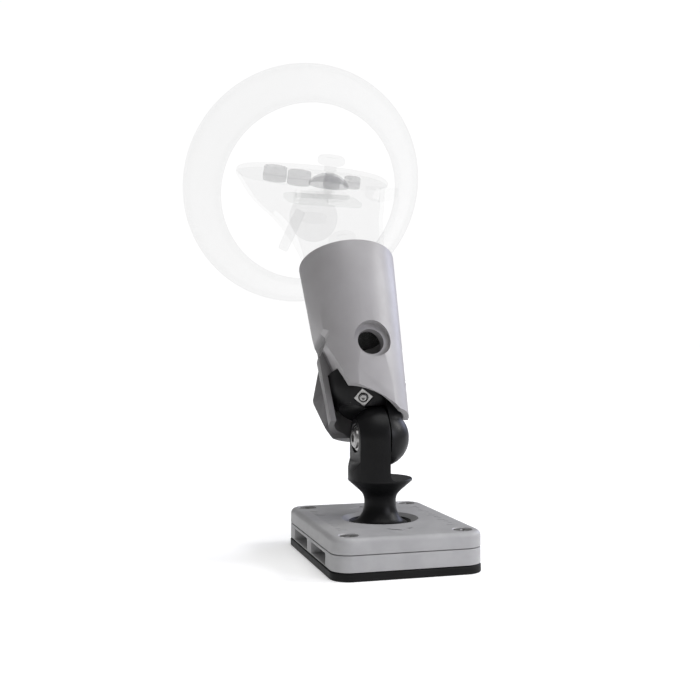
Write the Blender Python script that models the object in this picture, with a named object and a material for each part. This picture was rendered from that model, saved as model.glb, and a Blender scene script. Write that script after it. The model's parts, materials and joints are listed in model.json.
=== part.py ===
"""Right-hand tracked motion controller docked in a desk joystick stand.

Frame: origin on the tabletop under the middle of the base, +Z up, +Y away from the user,
+X to the user's right.  Lengths below are millimetres and become metres in the meshes.
"""
import math

import bpy
import bmesh
from mathutils import Matrix, Vector

MM = 0.001
GAP = 0.3                 # clearance between pieces that rest on each other
FIT = 0.2                 # radial clearance of a screw or pin in its hole

# base box
BASE_WIDTH = 68.0
BASE_DEPTH = 90.2
BASE_CORNER = 8.5
BASE_EDGE = 2.4
PLATE_THICK = 3.5
PLATE_OVERHANG = 0.2
HOUSING_HEIGHT = 7.1
COVER_HEIGHT = 7.0
SCREW_INSET_X = 8.15
SCREW_INSET_Y = 7.75
SCREW_HEAD_R = 4.1
SCREW_SHANK_R = 1.9
SCREW_HEAD_DROP = 2.4
SCREW_LENGTH = 13.0
INSERT_WALL = 0.9
INSERT_LENGTH = 5.2
STRAP_SLOT_LENGTH = 25.4
STRAP_SLOT_HEIGHT = 5.2
STRAP_SLOT_DEPTH = 10.0
STRAP_SLOT_OFFSET = 16.6
SPRING_WINDOW_R = 21.5

# two-way tilting joint of the stick
TILT_HEIGHT = 33.0        # height of the point that the stick tilts about
BOWL_R = 23.2
BOWL_WALL = 1.6
BOWL_HOLE_R = 9.6
SLIDER_THICK = 1.4
SLIDER_R = 14.4
SLOT_HALF = 8.4
STEM_R = 4.0
FOOT_R = 12.6
HUB_R = 7.0
HUB_THICK = 3.0
HUB_BOTTOM = 5.2
HUB_SCREW_R = 1.8
HUB_SCREW_HEAD_R = 3.1
SPRING_R = 2.1
SPRING_WIRE = 0.45
SPRING_TURNS = 4

# stick post and knuckle
NECK_R = 7.4
FLANGE_R = 15.0
FLANGE_BOTTOM = 35.8
FLANGE_TOP = 36.9
EAR_SLOPE_LOW = 38.2         # where the ear's outer slope would meet x = -16
EAR_SLOPE_TOP = 45.4
EAR_FILLET = 3.0
PIVOT_HEIGHT = 55.5
EAR_R = 14.9
EAR_LEFT = -12.1
EAR_RIGHT = 0.4
BOLT_R = 3.0
BOLT_HEAD_R = 5.9
BOLT_HEAD_THICK = 3.0
BOLT_HEAD_SINK = 2.2
BOLT_SOCKET_R = 2.3
NUT_R = 5.6
NUT_THICK = 4.6
WASHER_R = 8.0
WASHER_THICK = 0.6
TONGUE_THICK = 8.6
TONGUE_R = 13.5
KNUCKLE_CLEARANCE = 15.5  # radius that the fork piece is hollowed to round the ear

# cup
LEAN = 27.2               # degrees that the cup leans away from the user
CUP_OFFSET = -4.3         # sideways place of the cup's axis
CUP_RIM = 93.9            # from the pivot along the cup's axis
CUP_RIM_R = 23.9
CUP_TAPER = 0.058
CUP_BOTTOM = 8.0
CUP_BACK_BOTTOM = 13.5
CUP_WALL = 2.6
COLLAR_BOTTOM = 31.5
COLLAR_TOP = 52.0
COLLAR_WALL = 7.2
PORT_HEIGHT = 41.6
PORT_R = 9.0
PORT_DEPTH = 5.0
PORT_INNER_R = 6.3
PORT_TURN = 6.0           # degrees that the port points lower than square to the cup
PORT_OFFSET = 1.4
FLAT_DEPTH = 1.3
# notch in the cup's left side and lower edge of its front, as X and height along the lean
NOTCH_EDGE = ((-60.0, 70.0), (-28.5, 70.0), (-26.4, 62.0), (-24.8, 56.0), (-23.2, 51.5), (-21.6, 49.8),
              (-21.6, 47.4), (-24.5, 41.0), (-30.0, 38.0), (-60.0, 38.0))
SKIRT_EDGE = ((-60.0, 45.0), (-23.5, 45.0), (-15.8, 21.0), (-8.8, 17.9), (-1.6, 14.1), (3.9, 10.0),
              (7.9, 7.2),
              (13.4, 6.0), (18.0, 5.6))
# guard behind the ear, as radius round the cup's axis and height
HOOD_OUTER = ((0.0, 51.0), (17.4, 50.5), (25.3, 24.6), (25.3, 22.6), (20.6, 6.0), (0.0, 6.0))
HOOD_FACE = Vector((-27.5, 12.0, 23.6))   # point on the crease between the guard's two flat faces
HOOD_FACE_OUT = (Vector((-0.787, -0.618, 0.12)), Vector((-0.75, -0.59, -0.3)))
HOOD_EDGE_X = -10.0
HOOD_FRONT = -2.0
PLUG_CENTRE = 26.0        # height of the centre of the fork piece's round end
CLAMP_NUT_SIDE = 6.4
CLAMP_NUT_THICK = 2.6
CLAMP_SCREW_R = 1.9
CUP_SCREW_R = 1.6
CUP_SCREW_HEAD_R = 3.0
CUP_SCREW_LENGTH = 8.0
CUP_SCREW_TURNS = (0, 80)  # degrees round the cup from its right side
CLAMP_OUT = Vector((-0.29, -0.69, -0.66)).normalized()
CLAMP_DROP = 1.0
CLAMP_TURN = Matrix.Rotation(math.radians(40), 4, "Z")
LINER_WALL = 0.8

# controller
HEAD_CENTRE = Vector((-16.8, 63.0, 185.2))
HEAD_TILT = 20.0
HEAD_ROLL = 1.4
HEAD_HALF_X = 39.8
HEAD_HALF_Y = 28.0
SHELL_WALL = 2.2
FACE_THICK = 2.6
FACE_LIFT = 0.3
RING_CENTRE = Vector((-19.0, 68.0, 180.0))
RING_TILT = 20.7
RING_BIG_R = 63.9
RING_SMALL_R = 45.8
RING_DEPTH = 16.9
RING_WALL = 4.6
RING_SKIN = 1.7
BRIDGE_HALF = 7.5
BATTERY_R = 7.2
BATTERY_LENGTH = 50.0
BATTERY_BOTTOM = 60.0
HANDLE_BOTTOM = 54.0
HANDLE_R = 16.4
STICK_POS = Vector((9.0, 0.0))
STICK_CAP_R = 7.2
STICK_STEM_R = 3.4
STICK_DOME_R = 11.6
STICK_MODULE_R = 10.4
BOARD_DROP = 11.5
BOARD_THICK = 1.6
BUTTON_TRAVEL = 1.2
# name, x and y on the face, radius, height above the face
BUTTONS = (
    ("button_a", -21.6, -7.4, 5.9, 3.4),
    ("button_b", -10.4, -13.8, 5.9, 3.0),
    ("button_menu", 5.6, -18.0, 4.2, 1.8),
    ("button_system", 17.6, -13.4, 4.2, 1.8),
)
TRIGGER_CENTRE = Vector((-8.5, 95.0, 169.0))
TRIGGER_R = 13.4
TRIGGER_THICK = 6.5
TRIGGER_PIN_R = 1.2
GRIP_CENTRE = Vector((-30.6, 51.5, 156.5))
GRIP_HALF_Y = 7.6
GRIP_HALF_Z = 11.8
GRIP_THICK = 5.0

COVER_TOP = PLATE_THICK + 2 * GAP + HOUSING_HEIGHT + COVER_HEIGHT
COVER_BOTTOM = COVER_TOP - COVER_HEIGHT
HOUSING_BOTTOM = PLATE_THICK + GAP
HOUSING_TOP = HOUSING_BOTTOM + HOUSING_HEIGHT
TILT = Vector((0, 0, TILT_HEIGHT))
PIVOT = Vector((0, 0, PIVOT_HEIGHT))
KNUCKLE = Matrix.Translation(PIVOT) @ Matrix.Rotation(math.radians(-LEAN), 4, "X")
CUP = KNUCKLE @ Matrix.Translation((CUP_OFFSET, 0, 0))
HEAD = (Matrix.Translation(HEAD_CENTRE) @ Matrix.Rotation(math.radians(HEAD_TILT), 4, "X")
        @ Matrix.Rotation(math.radians(HEAD_ROLL), 4, "Y"))
UPRIGHT = Matrix(((1, 0, 0, 0), (0, 0, -1, 0), (0, 1, 0, 0), (0, 0, 0, 1)))  # X and Z from an outline
RING = Matrix.Translation(RING_CENTRE) @ Matrix.Rotation(math.radians(RING_TILT - 90), 4, "X")


# materials and frames

def finish(name, colour, roughness, metallic=0.0, alpha=1.0):
    material = bpy.data.materials.new(name)
    material.use_nodes = True
    shader = material.node_tree.nodes["Principled BSDF"]
    shader.inputs["Base Color"].default_value = (*colour, 1.0)
    shader.inputs["Roughness"].default_value = roughness
    shader.inputs["Metallic"].default_value = metallic
    shader.inputs["Alpha"].default_value = alpha
    material.diffuse_color = (*colour, alpha)
    return material


def pivot_empty(name, matrix, parent=None):
    """An empty on a joint's axis that the moving pieces hang from."""
    empty = bpy.data.objects.new(name, None)
    bpy.context.scene.collection.objects.link(empty)
    placed = matrix.copy()
    placed.translation *= MM
    empty.parent = parent
    bpy.context.view_layer.update()
    empty.matrix_world = placed
    bpy.context.view_layer.update()
    return empty


# meshes

def skin(rings, closed=False):
    """Joins rings of points into one closed surface; a ring of one point is a pole."""
    mesh = bmesh.new()
    loops = [[mesh.verts.new(Vector(point) * MM) for point in ring] for ring in rings]
    pairs = list(zip(loops, loops[1:]))
    if closed:
        pairs.append((loops[-1], loops[0]))
    for low, high in pairs:
        count = max(len(low), len(high))
        for i in range(count):
            j = (i + 1) % count
            if len(low) == 1:
                mesh.faces.new((low[0], high[j], high[i]))
            elif len(high) == 1:
                mesh.faces.new((low[i], low[j], high[0]))
            else:
                mesh.faces.new((low[i], low[j], high[j], high[i]))
    if not closed:
        for end in (loops[0], loops[-1]):
            if len(end) > 2:
                mesh.faces.new(end)
    bmesh.ops.recalc_face_normals(mesh, faces=mesh.faces)
    data = bpy.data.meshes.new("surface")
    mesh.to_mesh(data)
    mesh.free()
    return data


def circle(radius, z, count):
    if radius <= 0:
        return [Vector((0, 0, z))]
    step = 2 * math.pi / count
    return [Vector((radius * math.cos(i * step), radius * math.sin(i * step), z)) for i in range(count)]


def turned(profile, matrix=Matrix(), count=32, closed=False):
    return skin([[matrix @ p for p in circle(r, z, count)] for r, z in profile], closed)


def tube(outer, inner, low, high, matrix=Matrix(), count=32):
    return turned(((outer, low), (outer, high), (inner, high), (inner, low)), matrix, count, closed=True)


def prism(outline, low, high, matrix=Matrix()):
    """An outline in X and Y, from one height to another."""
    return skin([[matrix @ Vector((x, y, z)) for x, y in outline] for z in (low, high)])


def rounded_outline(half_x, half_y, radius, steps=5):
    points = []
    for corner in range(4):
        sx = (1, -1, -1, 1)[corner]
        sy = (1, 1, -1, -1)[corner]
        for i in range(steps + 1):
            angle = math.radians(90 * corner + 90 * i / steps)
            points.append((sx * (half_x - radius) + radius * math.cos(angle),
                           sy * (half_y - radius) + radius * math.sin(angle)))
    return points


def oval(half_x, half_y, power=2.3, count=32):
    points = []
    for i in range(count):
        angle = 2 * math.pi * i / count
        c, s = math.cos(angle), math.sin(angle)
        points.append((math.copysign(abs(c) ** (2 / power), c) * half_x,
                       math.copysign(abs(s) ** (2 / power), s) * half_y))
    return points


def box(low, high, matrix=Matrix()):
    outline = ((low[0], low[1]), (high[0], low[1]), (high[0], high[1]), (low[0], high[1]))
    return prism(outline, low[2], high[2], matrix)


def along_x(matrix=Matrix()):
    """Turns a shape made along +Z so that it lies along +X."""
    return matrix @ Matrix.Rotation(math.radians(90), 4, "Y")


# objects

def piece(name, data, material, frame=None):
    """A named piece; its mesh is in world coordinates and is moved into its frame."""
    item = bpy.data.objects.new(name, data)
    data.name = name
    data.materials.append(material)
    bpy.context.scene.collection.objects.link(item)
    if frame is not None:
        data.transform(frame.matrix_world.inverted())
        item.parent = frame
    data.shade_smooth()
    data.set_sharp_from_angle(angle=math.radians(35))
    return item


def combine(item, data, operation="DIFFERENCE"):
    """Cuts, joins or clips a piece with a hidden tool, which is returned."""
    tool = bpy.data.objects.new(item.name + "_tool", data)
    bpy.context.scene.collection.objects.link(tool)
    if item.parent is not None:
        data.transform(item.parent.matrix_world.inverted())
        tool.parent = item.parent
    tool.hide_render = True
    tool.display_type = "WIRE"
    modifier = item.modifiers.new(operation.title(), "BOOLEAN")
    modifier.operation = operation
    modifier.solver = "EXACT"
    modifier.object = tool
    return tool


# base

def screw_places():
    x = BASE_WIDTH / 2 - SCREW_INSET_X
    y = BASE_DEPTH / 2 - SCREW_INSET_Y
    return ((-x, -y), (x, -y), (x, y), (-x, y))


def base_slab(low, high, grow=0.0, edge=0.0):
    """A rounded rectangle with an optional rounded upper edge."""
    half_x, half_y = BASE_WIDTH / 2 + grow, BASE_DEPTH / 2 + grow
    rings = [(0.0, low), (0.0, high - edge)]
    rings += [(edge * (1 - math.cos(a)), high - edge * (1 - math.sin(a)))
              for a in (math.radians(30), math.radians(60), math.radians(90)) if edge]
    if not edge:
        rings = [(0.0, low), (0.0, high)]
    return skin([[Vector((x, y, z)) for x, y in
                  rounded_outline(half_x - inset, half_y - inset, BASE_CORNER + grow - inset)]
                 for inset, z in rings])


def base_plate(steel):
    piece("base_plate", base_slab(0, PLATE_THICK, PLATE_OVERHANG), steel)


def lower_housing(plastic):
    item = piece("lower_housing", base_slab(HOUSING_BOTTOM, HOUSING_TOP), plastic)
    combine(item, turned(((0, HOUSING_BOTTOM - 1), (SPRING_WINDOW_R, HOUSING_BOTTOM - 1),
                          (SPRING_WINDOW_R, HOUSING_TOP + 1), (0, HOUSING_TOP + 1))))
    middle = HOUSING_BOTTOM + HOUSING_HEIGHT / 2 - 0.4
    outside = BASE_WIDTH / 2 + 1
    for side in (-1, 1):
        for end in (-1, 1):
            inner = side * (BASE_WIDTH / 2 - STRAP_SLOT_DEPTH)
            outer = side * outside
            centre = end * STRAP_SLOT_OFFSET
            combine(item,
                    box((min(inner, outer), centre - STRAP_SLOT_LENGTH / 2, middle - STRAP_SLOT_HEIGHT / 2),
                              (max(inner, outer), centre + STRAP_SLOT_LENGTH / 2,
                               middle + STRAP_SLOT_HEIGHT / 2)))
    for x, y in screw_places():
        pocket = SCREW_SHANK_R + FIT + INSERT_WALL + GAP
        combine(item,
                turned(((0, HOUSING_BOTTOM - 1), (pocket, HOUSING_BOTTOM - 1), (pocket, HOUSING_TOP + 1),
                              (0, HOUSING_TOP + 1)), Matrix.Translation((x, y, 0)), 12))


def bowl_height(radius, sphere):
    return TILT_HEIGHT - math.sqrt(sphere ** 2 - radius ** 2)


def top_cover(plastic):
    item = piece("top_cover", base_slab(COVER_BOTTOM, COVER_TOP, 0.0, BASE_EDGE), plastic)
    outer = BOWL_R + BOWL_WALL
    nub_r = math.sqrt(outer ** 2 - (TILT_HEIGHT - COVER_BOTTOM) ** 2)
    steps = [nub_r * i / 2 for i in range(3)]
    nub = [(r, bowl_height(r, outer)) for r in steps]
    nub += [(nub_r + 2.0, COVER_BOTTOM + 1.5), (0, COVER_BOTTOM + 1.5)]
    combine(item, turned(nub, count=28), "UNION")
    rim = math.sqrt(BOWL_R ** 2 - (TILT_HEIGHT - COVER_TOP) ** 2)
    dish = [(rim * i / 5, bowl_height(rim * i / 5, BOWL_R)) for i in range(6)]
    dish += [(rim + 1.2, COVER_TOP + 1.3), (0, COVER_TOP + 1.3)]
    combine(item, turned(dish, count=36))
    combine(item,
            turned(((0, COVER_BOTTOM - 8), (BOWL_HOLE_R, COVER_BOTTOM - 8), (BOWL_HOLE_R, COVER_TOP),
                    (0, COVER_TOP))))
    bore = SCREW_SHANK_R + FIT
    cone = SCREW_HEAD_R + FIT
    for x, y in screw_places():
        combine(item,
                turned(((0, COVER_BOTTOM - 1), (bore, COVER_BOTTOM - 1),
                        (bore, COVER_TOP - SCREW_HEAD_DROP - GAP),
                              (cone, COVER_TOP - GAP), (cone, COVER_TOP + 1), (0, COVER_TOP + 1)),
                             Matrix.Translation((x, y, 0)), 16))


def cover_screws(steel, brass):
    top = COVER_TOP - GAP
    recess = 1.5
    for number, (x, y) in enumerate(screw_places(), 1):
        place = Matrix.Translation((x, y, 0))
        item = piece(f"cover_screw_{number}", turned(
            ((0, top - SCREW_LENGTH), (SCREW_SHANK_R, top - SCREW_LENGTH),
             (SCREW_SHANK_R, top - SCREW_HEAD_DROP),
             (SCREW_HEAD_R, top - 0.2), (SCREW_HEAD_R, top), (0, top)), place, 16), steel)
        combine(item, prism([(1.45 * math.cos(a), 1.45 * math.sin(a)) for a in
                             [math.radians(60 * i) for i in range(6)]], top - recess, top + 1, place))
        inner = SCREW_SHANK_R + FIT
        piece(f"threaded_insert_{number}",
              tube(inner + INSERT_WALL, inner, HOUSING_TOP - INSERT_LENGTH - GAP, HOUSING_TOP - GAP, place,
                   12), brass)


# two-way tilting joint

def shell_profile(outer, inner, low_r, high_r, steps=4):
    radii = [low_r + (high_r - low_r) * i / steps for i in range(steps + 1)]
    return ([(r, bowl_height(r, outer)) for r in radii]
            + [(r, bowl_height(r, inner)) for r in reversed(radii)])


def slotted_slider(plastic, frame):
    outer = BOWL_R - GAP
    profile = shell_profile(outer, outer - SLIDER_THICK, 0, SLIDER_R)
    item = piece("slotted_slider", turned(profile), plastic, frame)
    width = STEM_R + FIT
    slot = [(SLOT_HALF - width + width * math.cos(math.radians(a)), width * math.sin(math.radians(a)))
            for a in range(-90, 91, 30)]
    slot += [(-x, -y) for x, y in slot]
    combine(item, prism(slot, HUB_BOTTOM, COVER_TOP))


def stick_post(plastic, frame):
    under = BOWL_R - SLIDER_THICK - 2 * GAP
    hub_top = HUB_BOTTOM + HUB_THICK + GAP
    foot = [(r, bowl_height(r, under)) for r in (STEM_R, 7.0, 10.0, FOOT_R)]
    profile = [(0, hub_top), (STEM_R, hub_top)] + foot
    profile += [(FOOT_R - 0.2, 16.6), (10.9, 17.2), (9.7, 18.5), (8.6, 20.0), (8.0, 21.5), (NECK_R, 24.4),
                (NECK_R, 27.6),
                (8.2, 29.6), (9.9, 31.5), (FLANGE_R, FLANGE_BOTTOM), (FLANGE_R, FLANGE_TOP),
                (0, FLANGE_TOP)]
    item = piece("stick_post", turned(profile, count=32), plastic, frame)
    sink, inside = 0.5, FLANGE_R - 0.06
    dome = [(inside * math.cos(math.radians(a)),
             PIVOT_HEIGHT + EAR_R * math.sin(math.radians(a))) for a in range(0, 90, 15)]
    ear = combine(item,
                  turned([(0, FLANGE_TOP - sink),
                          (inside, FLANGE_TOP - sink)] + dome + [(0, PIVOT_HEIGHT + EAR_R)],
                               count=36), "UNION")
    right = EAR_RIGHT + EAR_FILLET
    fillet = [(right - EAR_FILLET * math.cos(math.radians(a)),
               FLANGE_TOP + EAR_FILLET * (1 - math.sin(math.radians(a))))
              for a in (0, 30, 60)]
    trim = [(-16, FLANGE_TOP - 1), (-16, EAR_SLOPE_LOW), (EAR_LEFT, EAR_SLOPE_TOP), (EAR_LEFT, 80),
            (EAR_RIGHT, 80)]
    trim += fillet + [(right, FLANGE_TOP - 0.1), (right, FLANGE_TOP - 1)]
    combine(ear, prism(trim, -30, 30, UPRIGHT), "INTERSECT")
    axis = along_x(Matrix.Translation(PIVOT))
    combine(item,
            turned(((0, -30), (BOLT_HEAD_R + 0.4, -30), (BOLT_HEAD_R + 0.4, EAR_LEFT + BOLT_HEAD_SINK),
                          (BOLT_R + FIT, EAR_LEFT + BOLT_HEAD_SINK), (BOLT_R + FIT, EAR_RIGHT + 1),
                          (0, EAR_RIGHT + 1)),
                         axis, 20))
    hole = HUB_SCREW_R + FIT
    combine(item,
            turned(((0, hub_top - 1), (hole, hub_top - 1), (hole, hub_top + 9.5), (0, hub_top + 9.5)),
                   count=16))


def spring_hub(metal, steel, frame):
    top = HUB_BOTTOM + HUB_THICK
    item = piece("spring_hub",
                 turned(((0, HUB_BOTTOM), (HUB_R, HUB_BOTTOM), (HUB_R, top), (0, top)), count=32), metal,
                 frame)
    hole = HUB_SCREW_R + FIT
    recess = HUB_SCREW_HEAD_R + FIT
    floor = HUB_BOTTOM + 1.6
    combine(item,
            turned(((0, HUB_BOTTOM - 1), (recess, HUB_BOTTOM - 1), (recess, floor), (hole, floor),
                    (hole, top + 1),
                          (0, top + 1)), count=20))
    piece("hub_screw",
          turned(((0, HUB_BOTTOM + 0.2), (HUB_SCREW_HEAD_R, HUB_BOTTOM + 0.2),
                  (HUB_SCREW_HEAD_R, floor - GAP),
                               (HUB_SCREW_R, floor - GAP), (HUB_SCREW_R, top + 9.0), (0, top + 9.0)),
                               count=16), steel, frame)


def centring_springs(steel):
    length = SPRING_WINDOW_R - HUB_R - 2 * GAP
    steps = SPRING_TURNS * 8
    height = HUB_BOTTOM + HUB_THICK / 2
    for number in range(4):
        turn = Matrix.Rotation(math.radians(90 * number), 4, "Z")
        rings = []
        for i in range(steps + 1):
            angle = 2 * math.pi * i / 8
            along = HUB_R + GAP + SPRING_WIRE + (length - 2 * SPRING_WIRE) * i / steps
            out = Vector((0, math.cos(angle), math.sin(angle)))
            centre = Vector((along, 0, height)) + out * (SPRING_R - SPRING_WIRE)
            rings.append([turn @ (centre + out * dy * SPRING_WIRE + Vector((dx * SPRING_WIRE, 0, 0)))
                          for dy, dx in ((1, 0), (0, 1), (-1, 0), (0, -1))])
        piece(f"centring_spring_{number + 1}", skin(rings), steel)


# knuckle

def knuckle_bolt(steel, frame):
    axis = along_x(Matrix.Translation(PIVOT))
    seat = EAR_LEFT + BOLT_HEAD_SINK - GAP
    head = seat - BOLT_HEAD_THICK
    end = EAR_RIGHT + 2 * GAP + WASHER_THICK + TONGUE_THICK
    item = piece("knuckle_bolt", turned(
        ((0, head), (BOLT_HEAD_R - 1.6, head), (BOLT_HEAD_R - 0.4, head + 0.9), (BOLT_HEAD_R, head + 1.8),
         (BOLT_HEAD_R, seat),
         (BOLT_R, seat), (BOLT_R, end), (0, end)), axis, 28), steel, frame)
    hexagon = [(BOLT_SOCKET_R * math.cos(math.radians(60 * i)),
                BOLT_SOCKET_R * math.sin(math.radians(60 * i)))
               for i in range(6)]
    combine(item, prism(hexagon, head - 1, head + 1.9, axis))
    low = EAR_RIGHT + GAP
    piece("friction_washer", tube(WASHER_R, BOLT_R + FIT, low, low + WASHER_THICK, axis, 24), steel, frame)


def cup_radius(height):
    return CUP_RIM_R - CUP_TAPER * (CUP_RIM - height)


def plug_radius(height):
    return cup_radius(height) - CUP_WALL - GAP


def knuckle_arm(plastic, frame):
    """Plug with a round end, hollowed round the ear, and a half ball beside the ear."""
    ball_left = EAR_RIGHT + 2 * GAP + WASHER_THICK
    nut_right = ball_left + TONGUE_THICK
    plug_top = COLLAR_BOTTOM - GAP
    radius = plug_radius(PLUG_CENTRE)
    end = [(radius * math.sin(math.radians(a)),
            PLUG_CENTRE - radius * math.cos(math.radians(a))) for a in range(15, 91, 15)]
    item = piece("knuckle_arm",
                 turned([(0, PLUG_CENTRE - radius)] + end + [(plug_radius(plug_top), plug_top),
                                                             (0, plug_top)],
                                       CUP, 40), plastic, frame)
    axis = along_x(KNUCKLE)
    hollow = KNUCKLE_CLEARANCE
    combine(item, turned(((0, -40), (hollow, -40), (hollow, 40), (0, 40)), axis, 32))
    low, high = SKIRT_EDGE[-1][1] - 2 * GAP, PLUG_CENTRE - 4
    ball = [(TONGUE_R * math.cos(math.radians(a)),
             TONGUE_R * math.sin(math.radians(a))) for a in range(-75, 16, 15)]
    neck = math.sqrt(TONGUE_R ** 2 - low ** 2)
    half_ball = combine(item,
                        turned([(0, -TONGUE_R)] + ball + [(neck, low), (neck, high), (0, high)], KNUCKLE,
                               36), "UNION")
    combine(half_ball, box((ball_left, -30, -30), (30, 30, 30), KNUCKLE), "INTERSECT")
    slack = 0.05
    reach = plug_radius(low) - slack
    combine(half_ball,
            turned(((0, -30), (40, -30), (40, low - 1), (reach, low), (reach, high + 1), (0, high + 1)),
                   CUP, 40),
            "INTERSECT")
    facet = clamp_facet()
    combine(item, box((-6.2, -6.2, 0), (6.2, 6.2, 4), facet))
    side = CLAMP_NUT_SIDE / 2 + FIT
    combine(item, box((-side, -side, -CLAMP_NUT_THICK - GAP), (side, side, 1), facet))
    bore = CLAMP_SCREW_R + FIT
    combine(item, turned(((0, -5), (bore, -5), (bore, 1), (0, 1)), facet, 16))
    combine(item,
            turned(((0, ball_left - 1), (BOLT_R + FIT, ball_left - 1), (BOLT_R + FIT, TONGUE_R + 1),
                    (0, TONGUE_R + 1)),
                         axis, 20))
    combine(item, prism(hexagon_outline(NUT_R + 2 * FIT), nut_right - NUT_THICK - 0.5, TONGUE_R + 1, axis))
    for turn in CUP_SCREW_TURNS:
        place = cup_screw_frame(turn)
        combine(item, turned(((0, -CUP_SCREW_LENGTH - 1), (CUP_SCREW_R + FIT, -CUP_SCREW_LENGTH - 1),
                              (CUP_SCREW_R + FIT, 2), (0, 2)), place, 14))


def hexagon_outline(radius):
    return [(radius * math.cos(math.radians(60 * i)),
             radius * math.sin(math.radians(60 * i))) for i in range(6)]


def clamp_facet():
    """Frame of the flat at the plug's front left, +Z out of the flat."""
    point = Vector((CUP_OFFSET, 0, PLUG_CENTRE)) + CLAMP_OUT * (plug_radius(PLUG_CENTRE) - CLAMP_DROP)
    return (KNUCKLE @ Matrix.Translation(point) @ CLAMP_OUT.to_track_quat("Z", "Y").to_matrix().to_4x4()
            @ CLAMP_TURN)


def knuckle_nut(steel, frame):
    axis = along_x(KNUCKLE)
    right = EAR_RIGHT + 2 * GAP + WASHER_THICK + TONGUE_THICK - 0.2
    item = piece("knuckle_nut", prism(hexagon_outline(NUT_R), right - NUT_THICK, right, axis), steel, frame)
    combine(item, turned(((0, 0), (BOLT_R + FIT, 0), (BOLT_R + FIT, 20), (0, 20)), axis, 20))
    facet = clamp_facet()
    half = CLAMP_NUT_SIDE / 2
    top = -0.4
    square = piece("clamp_nut", box((-half, -half, top - CLAMP_NUT_THICK + GAP), (half, half, top), facet),
                   steel, frame)
    combine(square,
            turned(((0, -6), (CLAMP_SCREW_R + FIT / 2, -6), (CLAMP_SCREW_R + FIT / 2, 1), (0, 1)), facet,
                   16))
    end = 0.3
    tip = top - CLAMP_NUT_THICK
    piece("clamp_screw",
          turned(((0, tip), (CLAMP_SCREW_R, tip), (CLAMP_SCREW_R, end - 0.5), (CLAMP_SCREW_R - 0.5, end),
                                 (0, end)), facet, 16), steel, frame)


# cup

def cup_screw_frame(turn):
    """Frame on the cup's outside, +Z pointing out, for a screw into the fork piece."""
    height = 27.0
    return (CUP @ Matrix.Rotation(math.radians(turn), 4,
                                  "Z") @ Matrix.Translation((cup_radius(height), 0, height))
            @ Matrix.Rotation(math.radians(90), 4, "Y"))


def cup_sleeve(plastic, frame):
    collar_inner = cup_radius(COLLAR_BOTTOM) - COLLAR_WALL
    lip = 0.7
    profile = [(cup_radius(CUP_BOTTOM), CUP_BOTTOM), (cup_radius(CUP_RIM) - lip * 0.3, CUP_RIM - lip),
               (CUP_RIM_R - lip, CUP_RIM), (CUP_RIM_R - CUP_WALL, CUP_RIM),
               (cup_radius(COLLAR_TOP) - CUP_WALL, COLLAR_TOP), (collar_inner, COLLAR_TOP - 1),
               (collar_inner, COLLAR_BOTTOM),
               (cup_radius(COLLAR_BOTTOM) - CUP_WALL, COLLAR_BOTTOM),
               (cup_radius(CUP_BOTTOM) - CUP_WALL, CUP_BOTTOM)]
    item = piece("cup_sleeve", turned(profile, CUP, 40, closed=True), plastic, frame)
    upright = KNUCKLE @ UPRIGHT
    reach = 60.0
    combine(item, prism(NOTCH_EDGE, -reach, reach, upright))
    combine(item,
            prism(list(SKIRT_EDGE) + [(reach, 0), (reach, -20), (-reach, -20)], -HOOD_FRONT, reach,
                  upright))
    combine(item, box((HOOD_EDGE_X + 1, -1, -20), (40, 40, CUP_BACK_BOTTOM), KNUCKLE))
    hood = combine(item, turned(list(reversed(HOOD_OUTER)), CUP, 40), "UNION")
    combine(hood, box((-reach, HOOD_FRONT + 0.2, -20), (HOOD_EDGE_X + 2.5, reach, reach), KNUCKLE),
            "INTERSECT")
    for out in HOOD_FACE_OUT:
        face = KNUCKLE @ Matrix.Translation(HOOD_FACE) @ out.to_track_quat("Z", "Y").to_matrix().to_4x4()
        combine(hood, box((-reach, -reach, 0), (reach, reach, reach), face))
    swing = KNUCKLE_CLEARANCE + 0.5
    combine(hood, turned(((0, -reach), (swing, -reach), (swing, reach), (0, reach)), along_x(KNUCKLE), 32))
    slack = 0.02
    combine(item, turned(((0, -20), (cup_radius(-20) - CUP_WALL + slack, -20),
                          (cup_radius(COLLAR_BOTTOM) - CUP_WALL + slack, COLLAR_BOTTOM - slack),
                          (collar_inner + slack, COLLAR_BOTTOM - slack),
                          (collar_inner + slack, COLLAR_TOP - 1.5),
                          (0, COLLAR_TOP - 1.5)), CUP, 40))
    flat = -(cup_radius(26) - FLAT_DEPTH)
    tip = Matrix.Translation((0, flat, 26)) @ Matrix.Rotation(math.radians(6.0), 4, "X")
    combine(item, box((-30, -10, -30), (30, 0, 45), CUP @ tip))
    mouth = cup_radius(PORT_HEIGHT)
    port = (CUP @ Matrix.Translation((PORT_OFFSET, -mouth, PORT_HEIGHT))
            @ Matrix.Rotation(math.radians(90 + PORT_TURN), 4, "X"))
    step = -PORT_DEPTH
    combine(item,
            turned(((0, -15), (PORT_INNER_R, -15), (PORT_INNER_R, step), (PORT_R, step), (PORT_R, 20),
                    (0, 20)),
                         port, 28))
    for turn in CUP_SCREW_TURNS:
        place = cup_screw_frame(turn)
        combine(item,
                turned(((0, -6), (CUP_SCREW_R + FIT, -6), (CUP_SCREW_R + FIT, -1.4),
                        (CUP_SCREW_HEAD_R + FIT, -1.4),
                              (CUP_SCREW_HEAD_R + FIT, 4), (0, 4)), place, 20))


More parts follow.
